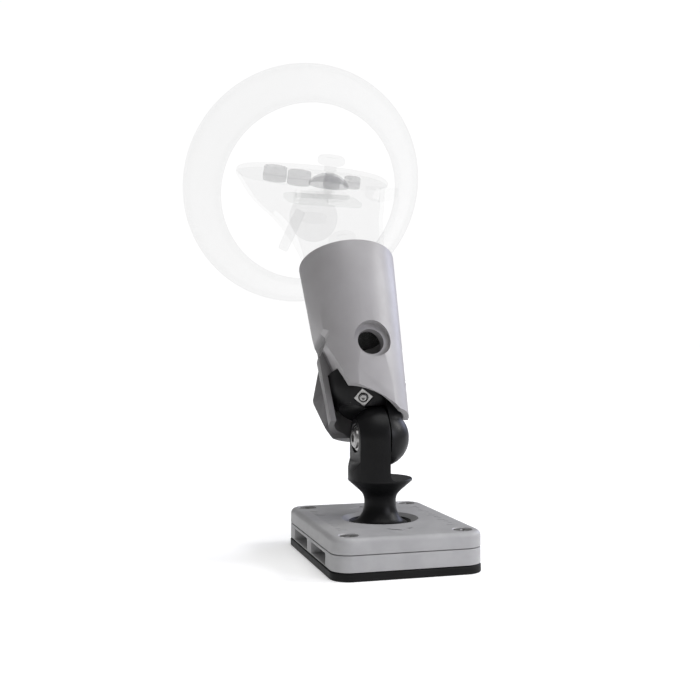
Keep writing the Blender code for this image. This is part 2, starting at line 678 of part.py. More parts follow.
def cup_fittings(steel, rubber, frame):
    for number, turn in enumerate(CUP_SCREW_TURNS, 1):
        place = cup_screw_frame(turn)
        top = 0.0
        item = piece(f"cup_screw_{number}", turned(
            ((0, -CUP_SCREW_LENGTH), (CUP_SCREW_R, -CUP_SCREW_LENGTH), (CUP_SCREW_R, -1.4 + GAP),
             (CUP_SCREW_HEAD_R, -1.4 + GAP),
             (CUP_SCREW_HEAD_R, top + 0.2), (CUP_SCREW_HEAD_R - 0.8, top + 0.7), (0, top + 0.7)), place,
             18), steel, frame)
        combine(item, prism(hexagon_outline(1.2), -0.5, 2, place))
    low, high = COLLAR_TOP + 2, CUP_RIM - 6
    rings = [(cup_radius(low) - CUP_WALL - GAP, low), (cup_radius(high) - CUP_WALL - GAP, high),
             (cup_radius(high) - CUP_WALL - GAP - LINER_WALL, high),
             (cup_radius(low) - CUP_WALL - GAP - LINER_WALL, low)]
    piece("cup_liner", turned(rings, CUP, 28, closed=True), rubber, frame)


# controller

def body_sections(inset=0.0):
    """Oval sections of the handle and head: centre, half sizes and tilt of each."""
    stations = (
        (CUP @ Vector((0, 0, HANDLE_BOTTOM + inset)), HANDLE_R - 1.5, HANDLE_R - 1.5, -LEAN),
        (CUP @ Vector((0, 0, HANDLE_BOTTOM + 3 + inset)), HANDLE_R, HANDLE_R, -LEAN),
        (CUP @ Vector((0, 0, CUP_RIM - 8)), CUP_RIM_R - CUP_WALL - LINER_WALL - 2 * GAP - 0.9, 17.6, -LEAN),
        (CUP @ Vector((-0.6, 0.4, CUP_RIM + 3)), 20.6, 17.8, -25.0),
        (Vector((-6.8, 49.5, 152.5)), 23.4, 20.0, -15.0),
        (Vector((-10.4, 55.0, 163.0)), 28.0, 23.6, -1.0),
        (Vector((-14.2, 59.6, 171.6)), 34.0, 26.2, 10.0),
        (HEAD @ Vector((0, 0, -2.4)), HEAD_HALF_X - 1.2, HEAD_HALF_Y - 0.8, HEAD_TILT),
        (HEAD @ Vector((0, 0, 0)), HEAD_HALF_X, HEAD_HALF_Y, HEAD_TILT),
    )
    rings = []
    for index, (centre, half_x, half_y, tilt) in enumerate(stations):
        roll = HEAD_ROLL * max(0, index - 3) / 5
        place = (Matrix.Translation(centre) @ Matrix.Rotation(math.radians(tilt), 4, "X")
                 @ Matrix.Rotation(math.radians(roll), 4, "Y"))
        rings.append([place @ Vector((x, y, 0)) for x, y in oval(half_x - inset, half_y - inset)])
    return rings


def handle_shell(ghost, frame):
    item = piece("handle_shell", skin(body_sections()), ghost, frame)
    inner = body_sections(SHELL_WALL)
    inner.append([point + (HEAD.to_3x3() @ Vector((0, 0, 4))) for point in inner[-1]])
    lug = 3.4
    half = trigger_barrel_half() + GAP
    for side in (-1, 1):
        low, high = sorted((side * half, side * (half + lug)))
        pin = trigger_pin_place()
        combine(item,
                box((pin.x + low, pin.y - 11.0, pin.z - 3.2), (pin.x + high, pin.y + 2.8, pin.z + 2.6)),
                "UNION")
    combine(item, skin(inner))
    pin_r = TRIGGER_PIN_R + FIT
    combine(item,
            turned(((0, -25), (pin_r, -25), (pin_r, 25), (0, 25)),
                   along_x(Matrix.Translation(trigger_pin_place())), 14))
    combine(item, grip_block(FIT + 0.5, 24.0))
    combine(item, box((10, -BRIDGE_HALF + 1.2, -9), (60, BRIDGE_HALF - 1.2, -2.5), HEAD))
    return item


def face_plate(ghost, frame):
    rings = []
    for inset, z in ((0.4, FACE_LIFT), (0.0, FACE_LIFT + 0.8), (0.3, FACE_LIFT + 1.8),
                     (1.6, FACE_LIFT + FACE_THICK)):
        rings.append([HEAD @ Vector((x, y, z)) for x, y in oval(HEAD_HALF_X - inset, HEAD_HALF_Y - inset)])
    item = piece("face_plate", skin(rings), ghost, frame)
    hole = STICK_DOME_R + GAP
    combine(item,
            turned(((0, -3), (hole, -3), (hole, 8), (0, 8)), head_place(STICK_POS.x, STICK_POS.y), 32))
    for _, x, y, radius, _ in BUTTONS:
        gap = radius + GAP
        combine(item, turned(((0, -3), (gap, -3), (gap, 8), (0, 8)), head_place(x, y), 16))


def head_place(x, y, z=0.0):
    return HEAD @ Matrix.Translation((x, y, z))


def ring_band(low, high, count=48):
    """Conical band between two offsets of one slanted line round the ring's axis."""
    slant = math.atan2(RING_BIG_R - RING_SMALL_R - RING_WALL, RING_DEPTH)
    across, along = math.cos(slant), -math.sin(slant)
    far_r = RING_BIG_R - RING_WALL * across

    def at(t, offset):
        return (RING_SMALL_R + (far_r - RING_SMALL_R) * t + across * offset,
                (t - 0.5) * RING_DEPTH + along * offset)

    return turned((at(0, low), at(0, high), at(1, high), at(1, low)), RING, count, closed=True)


def tracking_ring(ghost, board, frame):
    """Inner and outer covers with a strip of emitters between them."""
    piece("ring_inner_cover", ring_band(0.0, RING_SKIN), ghost, frame)
    piece("ring_outer_cover", ring_band(RING_WALL - RING_SKIN, RING_WALL), ghost, frame)
    strip = (RING_WALL - 2 * RING_SKIN) / 2
    piece("ring_led_strip", ring_band(RING_WALL / 2 - strip + GAP, RING_WALL / 2 + strip - GAP, 36), board,
          frame)
    inner = RING_SMALL_R + 3.0
    reach = HEAD.inverted() @ (RING @ Vector((inner, 0, 0)))
    item = piece("ring_bridge",
                 box((HEAD_HALF_X - 8.5, -BRIDGE_HALF + 1.6, -8.6), (reach.x + 6, BRIDGE_HALF - 1.6, -2.9),
                     HEAD),
                 ghost, frame)
    slant_clear = [(0.0, -RING_DEPTH), (RING_SMALL_R - 11.6, -RING_DEPTH),
                   (RING_BIG_R - 5.2, RING_DEPTH * 0.62),
                   (0.0, RING_DEPTH * 0.62)]
    combine(item, turned(slant_clear, RING, 48), "INTERSECT")


def thumbstick(ghost, dark, metal, frames, head_frame):
    place = head_place(STICK_POS.x, STICK_POS.y)
    module_low = -BOARD_DROP + BOARD_THICK + GAP
    item = piece("thumbstick_module",
                 turned(((0, module_low), (STICK_MODULE_R, module_low), (STICK_MODULE_R, -6.5),
                                              (0, -6.5)), place, 28), metal, head_frame)
    combine(item, turned(((0, -8.7), (5.2, -8.7), (6.4, -6), (0, -6)), place, 20))
    piece("thumbstick_yoke",
          turned(((3.0, -7.2), (4.0, -7.2), (4.0, -5.4), (3.0, -5.4)), place, 20, closed=True), dark,
          frames[0])
    dome = 13.0
    shell = [(r, math.sqrt(dome ** 2 - r ** 2) - 9.6) for r in (2.4, 6.0, 9.0, 10.6)]
    under = [(r, z - 1.2) for r, z in reversed(shell)]
    piece("thumbstick_dome", turned(shell + under, place, 20, closed=True), ghost, frames[1])
    top = 12.4
    stem = 2.0
    piece("thumbstick_cap", turned(
        ((0, -7.4), (stem, -7.4), (stem, 3.9), (STICK_STEM_R, 4.6), (STICK_STEM_R, top - 5.0),
         (STICK_CAP_R - 1.0, top - 4.4),
         (STICK_CAP_R, top - 3.0), (STICK_CAP_R - 0.2, top - 1.0), (STICK_CAP_R - 1.2, top),
         (3.6, top - 0.7), (0, top - 0.9)),
        place, 20), ghost, frames[2])


def face_buttons(ghost, frames):
    for (name, x, y, radius, height), frame in zip(BUTTONS, frames):
        top = FACE_LIFT + FACE_THICK + height
        low = -BOARD_DROP + BOARD_THICK + BUTTON_TRAVEL + 2.4
        piece(name,
              turned(((0, low), (1.6, low), (1.6, -1.0), (radius, -1.0), (radius, top - 0.8),
                      (radius - 0.8, top), (0, top)),
                           head_place(x, y), 16), ghost, frame)


def trigger_pin_place():
    return TRIGGER_CENTRE + Vector((0, -2.2, TRIGGER_R - 1.8))


def trigger_barrel_half():
    return 7.6


def trigger_parts(ghost, steel, frame, head_frame):
    face = Matrix.Translation(TRIGGER_CENTRE) @ Matrix.Rotation(math.radians(-84), 4, "X")
    half = TRIGGER_THICK / 2
    item = piece("trigger",
                 turned(((0, -half), (TRIGGER_R - 1.6, -half), (TRIGGER_R, -half + 1.6),
                         (TRIGGER_R, half - 2.4),
                                    (TRIGGER_R - 3.0, half), (0, half + 1.0)), face, 32), ghost, frame)
    pin = trigger_pin_place()
    axis = along_x(Matrix.Translation(pin))
    wide = trigger_barrel_half()
    combine(item, box((pin.x + wide, pin.y - 30, pin.z - 4.6), (pin.x + 40, pin.y + 30, pin.z + 30)))
    combine(item, box((pin.x - 40, pin.y - 30, pin.z - 4.6), (pin.x - wide, pin.y + 30, pin.z + 30)))
    combine(item, turned(((0, -wide), (2.8, -wide), (2.8, wide), (0, wide)), axis, 18), "UNION")
    combine(item,
            turned(((0, -20), (TRIGGER_PIN_R + FIT, -20), (TRIGGER_PIN_R + FIT, 20), (0, 20)), axis, 14))
    reach = wide + 3.2
    piece("trigger_pin",
          turned(((0, -reach), (TRIGGER_PIN_R, -reach), (TRIGGER_PIN_R, reach), (0, reach)), axis, 14),
          steel, head_frame)


def grip_block(grow, depth):
    """Leaf-shaped block through the left wall, pointing along -X."""
    outline = [(math.cos(a) * (GRIP_HALF_Y + grow) * (0.78 + 0.22 * math.sin(a)),
                math.sin(a) * (GRIP_HALF_Z + grow))
               for a in [2 * math.pi * i / 20 for i in range(20)]]
    turn = Matrix(((0, 0, -1, 0), (1, 0, 0, 0), (0, 1, 0, 0), (0, 0, 0, 1)))
    lean = Matrix.Rotation(math.radians(-14), 4, "X")
    place = Matrix.Translation(GRIP_CENTRE) @ lean @ Matrix.Rotation(math.radians(26), 4, "Y") @ turn
    return prism(outline, -depth / 2, depth / 2, place)


def grip_parts(ghost, steel, frame, head_frame):
    piece("grip_button", grip_block(0.0, GRIP_THICK), ghost, frame)


def inner_parts(board, metal, steel, battery, frame):
    low = -BOARD_DROP
    half_x, half_y = HEAD_HALF_X - 20.0, HEAD_HALF_Y - 16.0
    piece("main_board",
          prism(rounded_outline(half_x, half_y, 6.0, 3), low, low + BOARD_THICK,
                HEAD @ Matrix.Translation((6.3, -1, 0))),
          board, frame)
    top = BATTERY_BOTTOM + BATTERY_LENGTH
    place = CUP @ Matrix.Translation((0, 0, 0))
    piece("battery_cell",
          turned(((0, BATTERY_BOTTOM), (BATTERY_R, BATTERY_BOTTOM), (BATTERY_R, top), (2.6, top),
                  (2.6, top + 1),
                                  (0, top + 1)), place, 24), battery, frame)
    piece("battery_contact",
          turned(((0, BATTERY_BOTTOM - 1.4), (5.2, BATTERY_BOTTOM - 1.4), (5.2, BATTERY_BOTTOM - 0.6),
                                     (0, BATTERY_BOTTOM - 0.6)), place, 18), metal, frame)
    motor = HEAD @ Matrix.Translation((1, -8, -17.5))
    piece("haptic_motor", turned(((0, -3.4), (6.5, -3.4), (6.5, 0), (6.0, 0.4), (0, 0.4)), motor, 20),
          steel, frame)


def main():
    for item in list(bpy.data.objects):
        bpy.data.objects.remove(item, do_unlink=True)
    grey = finish("grey_print", (0.40, 0.40, 0.41), 0.45)
    black = finish("black_print", (0.02, 0.02, 0.022), 0.42)
    steel_black = finish("black_painted_steel", (0.02, 0.02, 0.02), 0.5, 0.2)
    steel = finish("steel", (0.62, 0.62, 0.63), 0.28, 1.0)
    brass = finish("brass", (0.78, 0.6, 0.28), 0.3, 1.0)
    rubber = finish("rubber", (0.03, 0.03, 0.03), 0.8)
    ghost = finish("clear_white", (0.93, 0.93, 0.94), 0.4, 0.0, 0.35)
    ghost_dark = finish("clear_grey", (0.55, 0.55, 0.56), 0.4, 0.0, 0.5)
    board = finish("board", (0.1, 0.2, 0.12), 0.5)
    battery = finish("battery_wrap", (0.75, 0.76, 0.78), 0.35)

    slider_frame = pivot_empty("stick_pitch_axis", Matrix.Translation(TILT))
    stick_frame = pivot_empty("stick_roll_axis", Matrix.Translation(TILT), slider_frame)
    arm_frame = pivot_empty("knuckle_axis", KNUCKLE, stick_frame)
    dock_frame = pivot_empty("dock_axis", CUP @ Matrix.Translation((0, 0, CUP_RIM)), arm_frame)
    stick_base = head_place(STICK_POS.x, STICK_POS.y, -6.5)
    thumb_x = pivot_empty("thumbstick_x_axis", stick_base, dock_frame)
    thumb_y = pivot_empty("thumbstick_y_axis", stick_base, thumb_x)
    thumb_click = pivot_empty("thumbstick_click_axis", stick_base, thumb_y)
    button_frames = [pivot_empty(name + "_axis", head_place(x, y), dock_frame) for name, x, y, _,
                     _ in BUTTONS]
    trigger_frame = pivot_empty("trigger_axis", Matrix.Translation(trigger_pin_place()), dock_frame)
    grip_frame = pivot_empty("grip_axis", Matrix.Translation(GRIP_CENTRE + Vector((0, 0, -GRIP_HALF_Z))),
                             dock_frame)

    base_plate(steel_black)
    lower_housing(grey)
    top_cover(grey)
    cover_screws(steel, brass)
    slotted_slider(black, slider_frame)
    stick_post(black, stick_frame)
    spring_hub(black, steel, stick_frame)
    centring_springs(steel)
    knuckle_bolt(steel, stick_frame)
    knuckle_arm(black, arm_frame)
    knuckle_nut(steel, arm_frame)
    cup_sleeve(grey, arm_frame)
    cup_fittings(steel, rubber, arm_frame)
    handle_shell(ghost, dock_frame)
    face_plate(ghost, dock_frame)
    tracking_ring(ghost, board, dock_frame)
    thumbstick(ghost_dark, black, steel, (thumb_x, thumb_y, thumb_click), dock_frame)
    face_buttons(ghost_dark, button_frames)
    trigger_parts(ghost_dark, steel, trigger_frame, dock_frame)
    grip_parts(ghost_dark, steel, grip_frame, dock_frame)
    inner_parts(board, steel, steel, battery, dock_frame)


main()
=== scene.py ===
import json
import math
import bpy
import bmesh
from mathutils import Matrix, Vector

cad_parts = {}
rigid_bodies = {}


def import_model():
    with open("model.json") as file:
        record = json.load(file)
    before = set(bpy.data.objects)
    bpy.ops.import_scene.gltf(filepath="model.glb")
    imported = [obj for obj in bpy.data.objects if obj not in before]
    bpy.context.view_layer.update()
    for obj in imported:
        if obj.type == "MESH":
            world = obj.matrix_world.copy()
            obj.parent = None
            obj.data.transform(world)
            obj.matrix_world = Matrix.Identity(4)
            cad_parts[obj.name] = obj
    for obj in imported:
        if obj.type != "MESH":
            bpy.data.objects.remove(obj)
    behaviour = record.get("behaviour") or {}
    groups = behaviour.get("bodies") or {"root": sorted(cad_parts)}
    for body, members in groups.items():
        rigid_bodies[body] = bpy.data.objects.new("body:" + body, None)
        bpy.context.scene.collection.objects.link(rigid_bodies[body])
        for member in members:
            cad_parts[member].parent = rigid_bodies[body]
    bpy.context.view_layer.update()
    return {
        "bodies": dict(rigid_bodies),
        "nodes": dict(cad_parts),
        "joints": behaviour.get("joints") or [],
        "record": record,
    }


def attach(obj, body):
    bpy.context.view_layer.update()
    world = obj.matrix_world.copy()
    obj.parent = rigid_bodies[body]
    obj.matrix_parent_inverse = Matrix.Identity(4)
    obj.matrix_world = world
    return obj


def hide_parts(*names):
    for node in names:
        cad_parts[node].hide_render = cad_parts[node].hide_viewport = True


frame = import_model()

mm = 0.001
gap = 0.3


class Wire:
    # a socket that can be used in sums
    def __init__(self, tree, socket):
        self.tree = tree
        self.socket = socket

    def maths(self, operation, other=0.0, swapped=False):
        node = self.tree.nodes.new("ShaderNodeMath")
        node.operation = operation
        pair = (other, self) if swapped else (self, other)
        for slotIn, value in zip(node.inputs, pair):
            if isinstance(value, Wire):
                self.tree.links.new(value.socket, slotIn)
            else:
                slotIn.default_value = value
        return Wire(self.tree, node.outputs[0])

    def __add__(self, other):
        return self.maths("ADD", other)

    def __radd__(self, other):
        return self.maths("ADD", other)

    def __sub__(self, other):
        return self.maths("SUBTRACT", other)

    def __rsub__(self, other):
        return self.maths("SUBTRACT", other, True)

    def __mul__(self, other):
        return self.maths("MULTIPLY", other)

    def __rmul__(self, other):
        return self.maths("MULTIPLY", other)

    def __pow__(self, other):
        return self.maths("POWER", other)


class Finish:
    # one material: a Principled shader and a way to add nodes to it
    def __init__(self, name, **constants):
        self.material = bpy.data.materials.new(name)
        self.material.use_nodes = True
        self.tree = self.material.node_tree
        self.shader = self.tree.nodes["Principled BSDF"]
        for key, value in constants.items():
            self.shader.inputs[key.replace("_", " ")].default_value = value

    def add(self, kind, settings=None, out=0, **inputs):
        node = self.tree.nodes.new(kind)
        for key, value in (settings or {}).items():
            setattr(node, key, value)
        for key, value in inputs.items():
            socket = node.inputs[int(key[1:])] if key[0] == "i" and key[1:].isdigit() else node.inputs[key]
            if isinstance(value, Wire):
                self.tree.links.new(value.socket, socket)
            else:
                socket.default_value = value
        return Wire(self.tree, node.outputs[out])

    def place(self):
        return self.add("ShaderNodeTexCoord", out=3)

    def noise(self, scale, detail=3.0, stretch=None):
        where = self.place()
        if stretch:
            where = self.add("ShaderNodeMapping", Vector=where, Scale=stretch)
        return self.add("ShaderNodeTexNoise", Vector=where, Scale=scale, Detail=detail)

    def along(self, frame, axis):
        # how far a point lies along one axis of a frame, in millimetres
        direction = frame.to_3x3().col[axis]
        reach = self.add("ShaderNodeVectorMath", {"operation": "DOT_PRODUCT"}, out=1, i0=self.place(),
                         i1=tuple(direction))
        return (reach - direction.dot(frame.translation * mm)) * (1 / mm)

    def between(self, value, low, high, kind="SMOOTHSTEP"):
        return self.add("ShaderNodeMapRange", {"interpolation_type": kind}, Value=value, i1=low, i2=high)

    def ramp(self, value, low, high, lowAt=0.35, highAt=0.65):
        node = self.tree.nodes.new("ShaderNodeValToRGB")
        first, last = node.color_ramp.elements
        first.position, last.position = lowAt, highAt
        first.color = (*low, 1)
        last.color = (*high, 1)
        self.tree.links.new(value.socket, node.inputs[0])
        return Wire(self.tree, node.outputs[0])

    def feed(self, name, wire):
        self.tree.links.new(wire.socket, self.shader.inputs[name])

    def bump(self, height, strength, distance):
        self.feed("Normal", self.add("ShaderNodeBump", Strength=strength, Distance=distance, Height=height))


def printedGreyWithPaintedShade(frame, front, top, depth):
    # grey print with a random tone, plus a painted shade: the guard behind the front edge, below the top
    # height and left of the middle is darkened by depth, standing in for its shadow
    m = Finish("printedGreyWithPaintedShade")
    colour = m.ramp(m.noise(90.0, 4.0), (0.298, 0.289, 0.294), (0.318, 0.309, 0.316))
    behind = m.between(m.along(frame, 1), front - 3.0, front - 2.2)
    below = m.between(m.along(frame, 2), top + 3.0, top)
    left = m.between(m.along(frame, 0), -2.0, -8.0)
    # painted shade: where the three masks meet, this factor darkens the base colour to stand in for shadow
    paintedShade = 1.0 - behind * below * left * depth
    m.feed("Base Color", m.add("ShaderNodeVectorMath", {"operation": "SCALE"}, i0=colour, Scale=paintedShade))
    m.feed("Roughness", m.noise(420.0, 2.0) * 0.16 + 0.36)
    m.bump(m.noise(2600.0, 2.0), 0.18, 0.00006)
    return m.material


def castGrey():
    m = Finish("castGrey", Roughness=0.5)
    m.feed("Base Color", m.ramp(m.noise(120.0, 4.0), (0.325, 0.323, 0.328), (0.362, 0.360, 0.365)))
    m.feed("Roughness", m.noise(300.0, 2.0) * 0.14 + 0.42)
    m.bump(m.noise(2200.0, 3.0), 0.22, 0.00006)
    return m.material


def blackNylon():
    m = Finish("blackNylon", Roughness=0.38, Specular_IOR_Level=0.16)
    wear = m.noise(55.0, 5.0)
    m.feed("Base Color", m.ramp(wear, (0.0045, 0.0045, 0.0048), (0.0075, 0.0075, 0.008)))
    m.feed("Roughness", m.noise(340.0, 3.0) * 0.22 + 0.28)
    m.bump(m.noise(1900.0, 3.0), 0.25, 0.00006)
    return m.material


def blackCoat():
    m = Finish("blackCoat", Specular_IOR_Level=0.14)
    m.feed("Base Color", m.ramp(m.noise(80.0, 4.0), (0.004, 0.004, 0.004), (0.007, 0.007, 0.007)))
    m.feed("Roughness", m.noise(500.0, 2.0) * 0.2 + 0.4)
    m.bump(m.noise(1500.0, 4.0), 0.35, 0.0001)
    return m.material


def zincSteel():
    m = Finish("zincSteel", Metallic=1.0)
    m.feed("Base Color", m.ramp(m.noise(700.0, 3.0), (0.27, 0.265, 0.26), (0.40, 0.395, 0.39)))
    m.feed("Roughness", m.noise(900.0, 2.0, (1.0, 1.0, 6.0)) * 0.2 + 0.26)
    m.bump(m.noise(3200.0, 2.0), 0.12, 0.00004)
    return m.material


def brassMetal():
    m = Finish("brassMetal", Metallic=1.0)
    m.feed("Base Color", m.ramp(m.noise(500.0, 3.0), (0.62, 0.43, 0.17), (0.80, 0.60, 0.28)))
    m.feed("Roughness", m.noise(800.0, 2.0) * 0.2 + 0.22)
    return m.material


def softRubber():
    m = Finish("softRubber")
    m.feed("Base Color", m.ramp(m.noise(200.0, 4.0), (0.012, 0.012, 0.012), (0.022, 0.022, 0.022)))
    m.feed("Roughness", m.noise(600.0, 2.0) * 0.15 + 0.72)
    m.bump(m.noise(2400.0, 3.0), 0.3, 0.00008)
    return m.material


def clearShell(name, low, high, alpha, rough):
    # frosted clear moulding: very thin in tone, with a fine mould grain
    m = Finish(name, Alpha=alpha, IOR=1.25, Specular_IOR_Level=0.05)
    m.feed("Base Color", m.ramp(m.noise(40.0, 3.0), low, high))
    m.feed("Roughness", m.noise(260.0, 2.0) * 0.15 + rough)
    m.bump(m.noise(1800.0, 2.0), 0.1, 0.00005)
    return m.material


def ringShell(name, full, none):
    # a clear cover that thins across the band, so that two covers together keep one tone
    m = Finish(name, IOR=1.25, Specular_IOR_Level=0.05)
    reach = (m.along(ringFrame, 0) ** 2 + m.along(ringFrame, 1) ** 2) ** 0.5
    m.feed("Alpha", m.between(reach, none, full, "LINEAR") * 0.078)
    m.feed("Base Color", m.ramp(m.noise(40.0, 3.0), (0.19, 0.19, 0.195), (0.23, 0.23, 0.235)))
    m.feed("Roughness", m.noise(260.0, 2.0) * 0.15 + 0.5)
    m.bump(m.noise(1800.0, 2.0), 0.1, 0.00005)
    return m.material


def boardFinish():
    m = Finish("boardLacquer", Alpha=0.06)
    traces = m.add("ShaderNodeTexBrick", Vector=m.place(), Scale=420.0, out=1)
    m.feed("Base Color", m.ramp(traces, (0.30, 0.36, 0.32), (0.52, 0.55, 0.50), 0.4, 0.6))
    m.feed("Roughness", m.noise(300.0, 2.0) * 0.2 + 0.3)
    return m.material


def whiteFloor():
    m = Finish("whiteFloor", Roughness=0.9, Emission_Strength=0.34)
    m.feed("Base Color", m.ramp(m.noise(3.0, 2.0), (0.80, 0.80, 0.80), (0.815, 0.815, 0.815)))
    m.shader.inputs["Specular IOR Level"].default_value = 0.0
    m.shader.inputs["Emission Color"].default_value = (1, 1, 1, 1)
    return m.material


baseGrey = castGrey()
black = blackNylon()
coat = blackCoat()
steel = zincSteel()
brass = brassMetal()
rubber = softRubber()
shellClear = clearShell("shellClear", (0.14, 0.14, 0.145), (0.18, 0.18, 0.185), 0.032, 0.45)
faceClear = clearShell("faceClear", (0.14, 0.14, 0.145), (0.18, 0.18, 0.185), 0.052, 0.4)
stripClear = clearShell("stripClear", (0.45, 0.45, 0.46), (0.55, 0.55, 0.56), 0.012, 0.45)
buttonClear = clearShell("buttonClear", (0.22, 0.22, 0.23), (0.30, 0.30, 0.31), 0.20, 0.4)
triggerClear = clearShell("triggerClear", (0.18, 0.18, 0.185), (0.24, 0.24, 0.245), 0.058, 0.45)
innerClear = clearShell("innerClear", (0.20, 0.20, 0.205), (0.28, 0.28, 0.285), 0.025, 0.45)
boardLook = boardFinish()
print("materials made")


def skin(rings, closed=False):
    mesh = bmesh.new()
    loops = [[mesh.verts.new(Vector(p) * mm) for p in ring] for ring in rings]
    pairs = list(zip(loops, loops[1:]))
    if closed:
        pairs.append((loops[-1], loops[0]))
    for low, high in pairs:
        count = max(len(low), len(high))
        for i in range(count):
            j = (i + 1) % count
            if len(low) == 1:
                mesh.faces.new((low[0], high[j], high[i]))
            elif len(high) == 1:
                mesh.faces.new((low[i], low[j], high[0]))
            else:
                mesh.faces.new((low[i], low[j], high[j], high[i]))
    if not closed:
        for end in (loops[0], loops[-1]):
            if len(end) > 2:
                mesh.faces.new(end)
    bmesh.ops.recalc_face_normals(mesh, faces=mesh.faces)
    data = bpy.data.meshes.new("surface")
    mesh.to_mesh(data)
    mesh.free()
    return data


def circle(radius, z, count):
    if radius <= 0:
        return [Vector((0, 0, z))]
    step = 2 * math.pi / count
    return [Vector((radius * math.cos(i * step), radius * math.sin(i * step), z)) for i in range(count)]


def turned(profile, matrix=Matrix(), count=96, closed=False):
    return skin([[matrix @ p for p in circle(r, z, count)] for r, z in profile], closed)


def prism(outline, low, high, matrix=Matrix()):
    return skin([[matrix @ Vector((x, y, z)) for x, y in outline] for z in (low, high)])


def box(low, high, matrix=Matrix()):
    corners = ((low[0], low[1]), (high[0], low[1]), (high[0], high[1]), (low[0], high[1]))
    return prism(corners, low[2], high[2], matrix)


def hexagon(radius, turn=0.0):
    return [(radius * math.cos(math.radians(60 * i + turn)), radius * math.sin(math.radians(60 * i + turn)))
            for i in range(6)]


def oval(halfX, halfY, power=2.3, count=96):
    points = []
    for i in range(count):
        angle = 2 * math.pi * i / count
        c, s = math.cos(angle), math.sin(angle)
        points.append((math.copysign(abs(c) ** (2 / power), c) * halfX,
                       math.copysign(abs(s) ** (2 / power), s) * halfY))
    return points


def roundedOutline(halfX, halfY, radius, steps=12):
    points = []
    for corner in range(4):
        sx = (1, -1, -1, 1)[corner]
        sy = (1, 1, -1, -1)[corner]
        for i in range(steps + 1):
            a = math.radians(90 * corner + 90 * i / steps)
            points.append((sx * (halfX - radius) + radius * math.cos(a),
                           sy * (halfY - radius) + radius * math.sin(a)))
    return points


def alongX(matrix):
    return matrix @ Matrix.Rotation(math.radians(90), 4, "Y")


def smoothEdges(data, angle=32):
    data.shade_smooth()
    data.set_sharp_from_angle(angle=math.radians(angle))


def asObject(name, data):
    item = bpy.data.objects.new(name, data)
    bpy.context.scene.collection.objects.link(item)
    return item


def evaluated(item):
    bpy.context.view_layer.update()
    graph = bpy.context.evaluated_depsgraph_get()
    return bpy.data.meshes.new_from_object(item.evaluated_get(graph))


def carve(data, tools, edge=0.0):
    # tools: (mesh, operation) pairs; edge is the width of the broken corners
    item = asObject("work", data)
    helpers = []
    for tool, operation in tools:
        helper = asObject("tool", tool)
        helpers.append(helper)
        cut = item.modifiers.new("cut", "BOOLEAN")
        cut.operation = operation
        cut.solver = "EXACT"
        cut.object = helper
    if edge:
        soft = item.modifiers.new("edge", "BEVEL")
        soft.width = edge * mm
        soft.segments = 2
        soft.limit_method = "ANGLE"
        soft.angle_limit = math.radians(38)
        soft.use_clamp_overlap = True
        soft.harden_normals = False
    result = evaluated(item)
    for helper in helpers + [item]:
        bpy.data.objects.remove(helper, do_unlink=True)
    return result


def addPiece(name, data, material, body, nodes):
    data.materials.clear()
    data.materials.append(material)
    smoothEdges(data)
    item = asObject(name, data)
    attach(item, body)
    if nodes:
        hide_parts(*nodes)
    return item


base = {"width": 68.0, "depth": 90.2, "corner": 8.5, "edge": 2.4, "plate": 3.5, "overhang": 0.2,
        "housing": 7.1,
        "cover": 7.0, "screwX": 8.15, "screwY": 7.75}
base["housingLow"] = base["plate"] + gap
base["housingTop"] = base["housingLow"] + base["housing"]
base["coverLow"] = base["housingTop"] + gap
base["coverTop"] = base["coverLow"] + base["cover"]
ball = {"height": 33.0, "bowl": 23.2, "wall": 1.6, "hole": 9.6, "slider": 1.4}
pivotHeight = 55.5
lean = 27.2
cup = {"offset": -4.3, "rim": 93.9, "rimRadius": 23.9, "taper": 0.058, "bottom": 8.0, "backBottom": 13.5,
       "wall": 2.6,
       "collarLow": 31.5, "collarTop": 52.0, "collarWall": 7.2, "port": 41.6, "portRadius": 9.0,
       "portInner": 6.3,
       "portDepth": 5.0, "portX": 1.4, "portTurn": 6.0, "flat": 1.3, "plug": 26.0, "screwHeight": 27.0,
       "screwTurns": (0, 80)}
knuckle = Matrix.Translation((0, 0, pivotHeight)) @ Matrix.Rotation(math.radians(-lean), 4, "X")
cupFrame = knuckle @ Matrix.Translation((cup["offset"], 0, 0))
head = {"centre": Vector((-16.8, 63.0, 185.2)), "tilt": 20.0, "roll": 1.4, "halfX": 39.8, "halfY": 28.0}
headFrame = (Matrix.Translation(head["centre"]) @ Matrix.Rotation(math.radians(head["tilt"]), 4, "X")
             @ Matrix.Rotation(math.radians(head["roll"]), 4, "Y"))
ring = {"centre": Vector((-19.0, 68.0, 180.0)), "tilt": 20.7, "big": 63.9, "small": 45.8, "depth": 16.9,
        "wall": 4.6,
        "skin": 1.7}
ringFrame = Matrix.Translation(ring["centre"]) @ Matrix.Rotation(math.radians(ring["tilt"] - 90), 4, "X")
upright = Matrix(((1, 0, 0, 0), (0, 0, -1, 0), (0, 1, 0, 0), (0, 0, 0, 1)))


def cupRadius(height):
    return cup["rimRadius"] - cup["taper"] * (cup["rim"] - height)


def bowlHeight(radius, sphere):
    return ball["height"] - math.sqrt(sphere ** 2 - radius ** 2)


view = {"place": (-0.1409, -0.4422, 0.0993), "turn": -15.95, "pitch": -0.38, "lens": 51.29}
cameraData = bpy.data.cameras.new("viewCamera")
cameraData.lens = view["lens"]
cameraData.sensor_width = 36.0
cameraData.clip_end = 60.0
camera = asObject("viewCamera", cameraData)
camera.location = view["place"]
camera.rotation_euler = (math.radians(90 + view["pitch"]), 0, math.radians(view["turn"]))
bpy.context.scene.camera = camera
bpy.context.scene.view_settings.view_transform = "Standard"
bpy.context.scene.cycles.transparent_max_bounces = 64


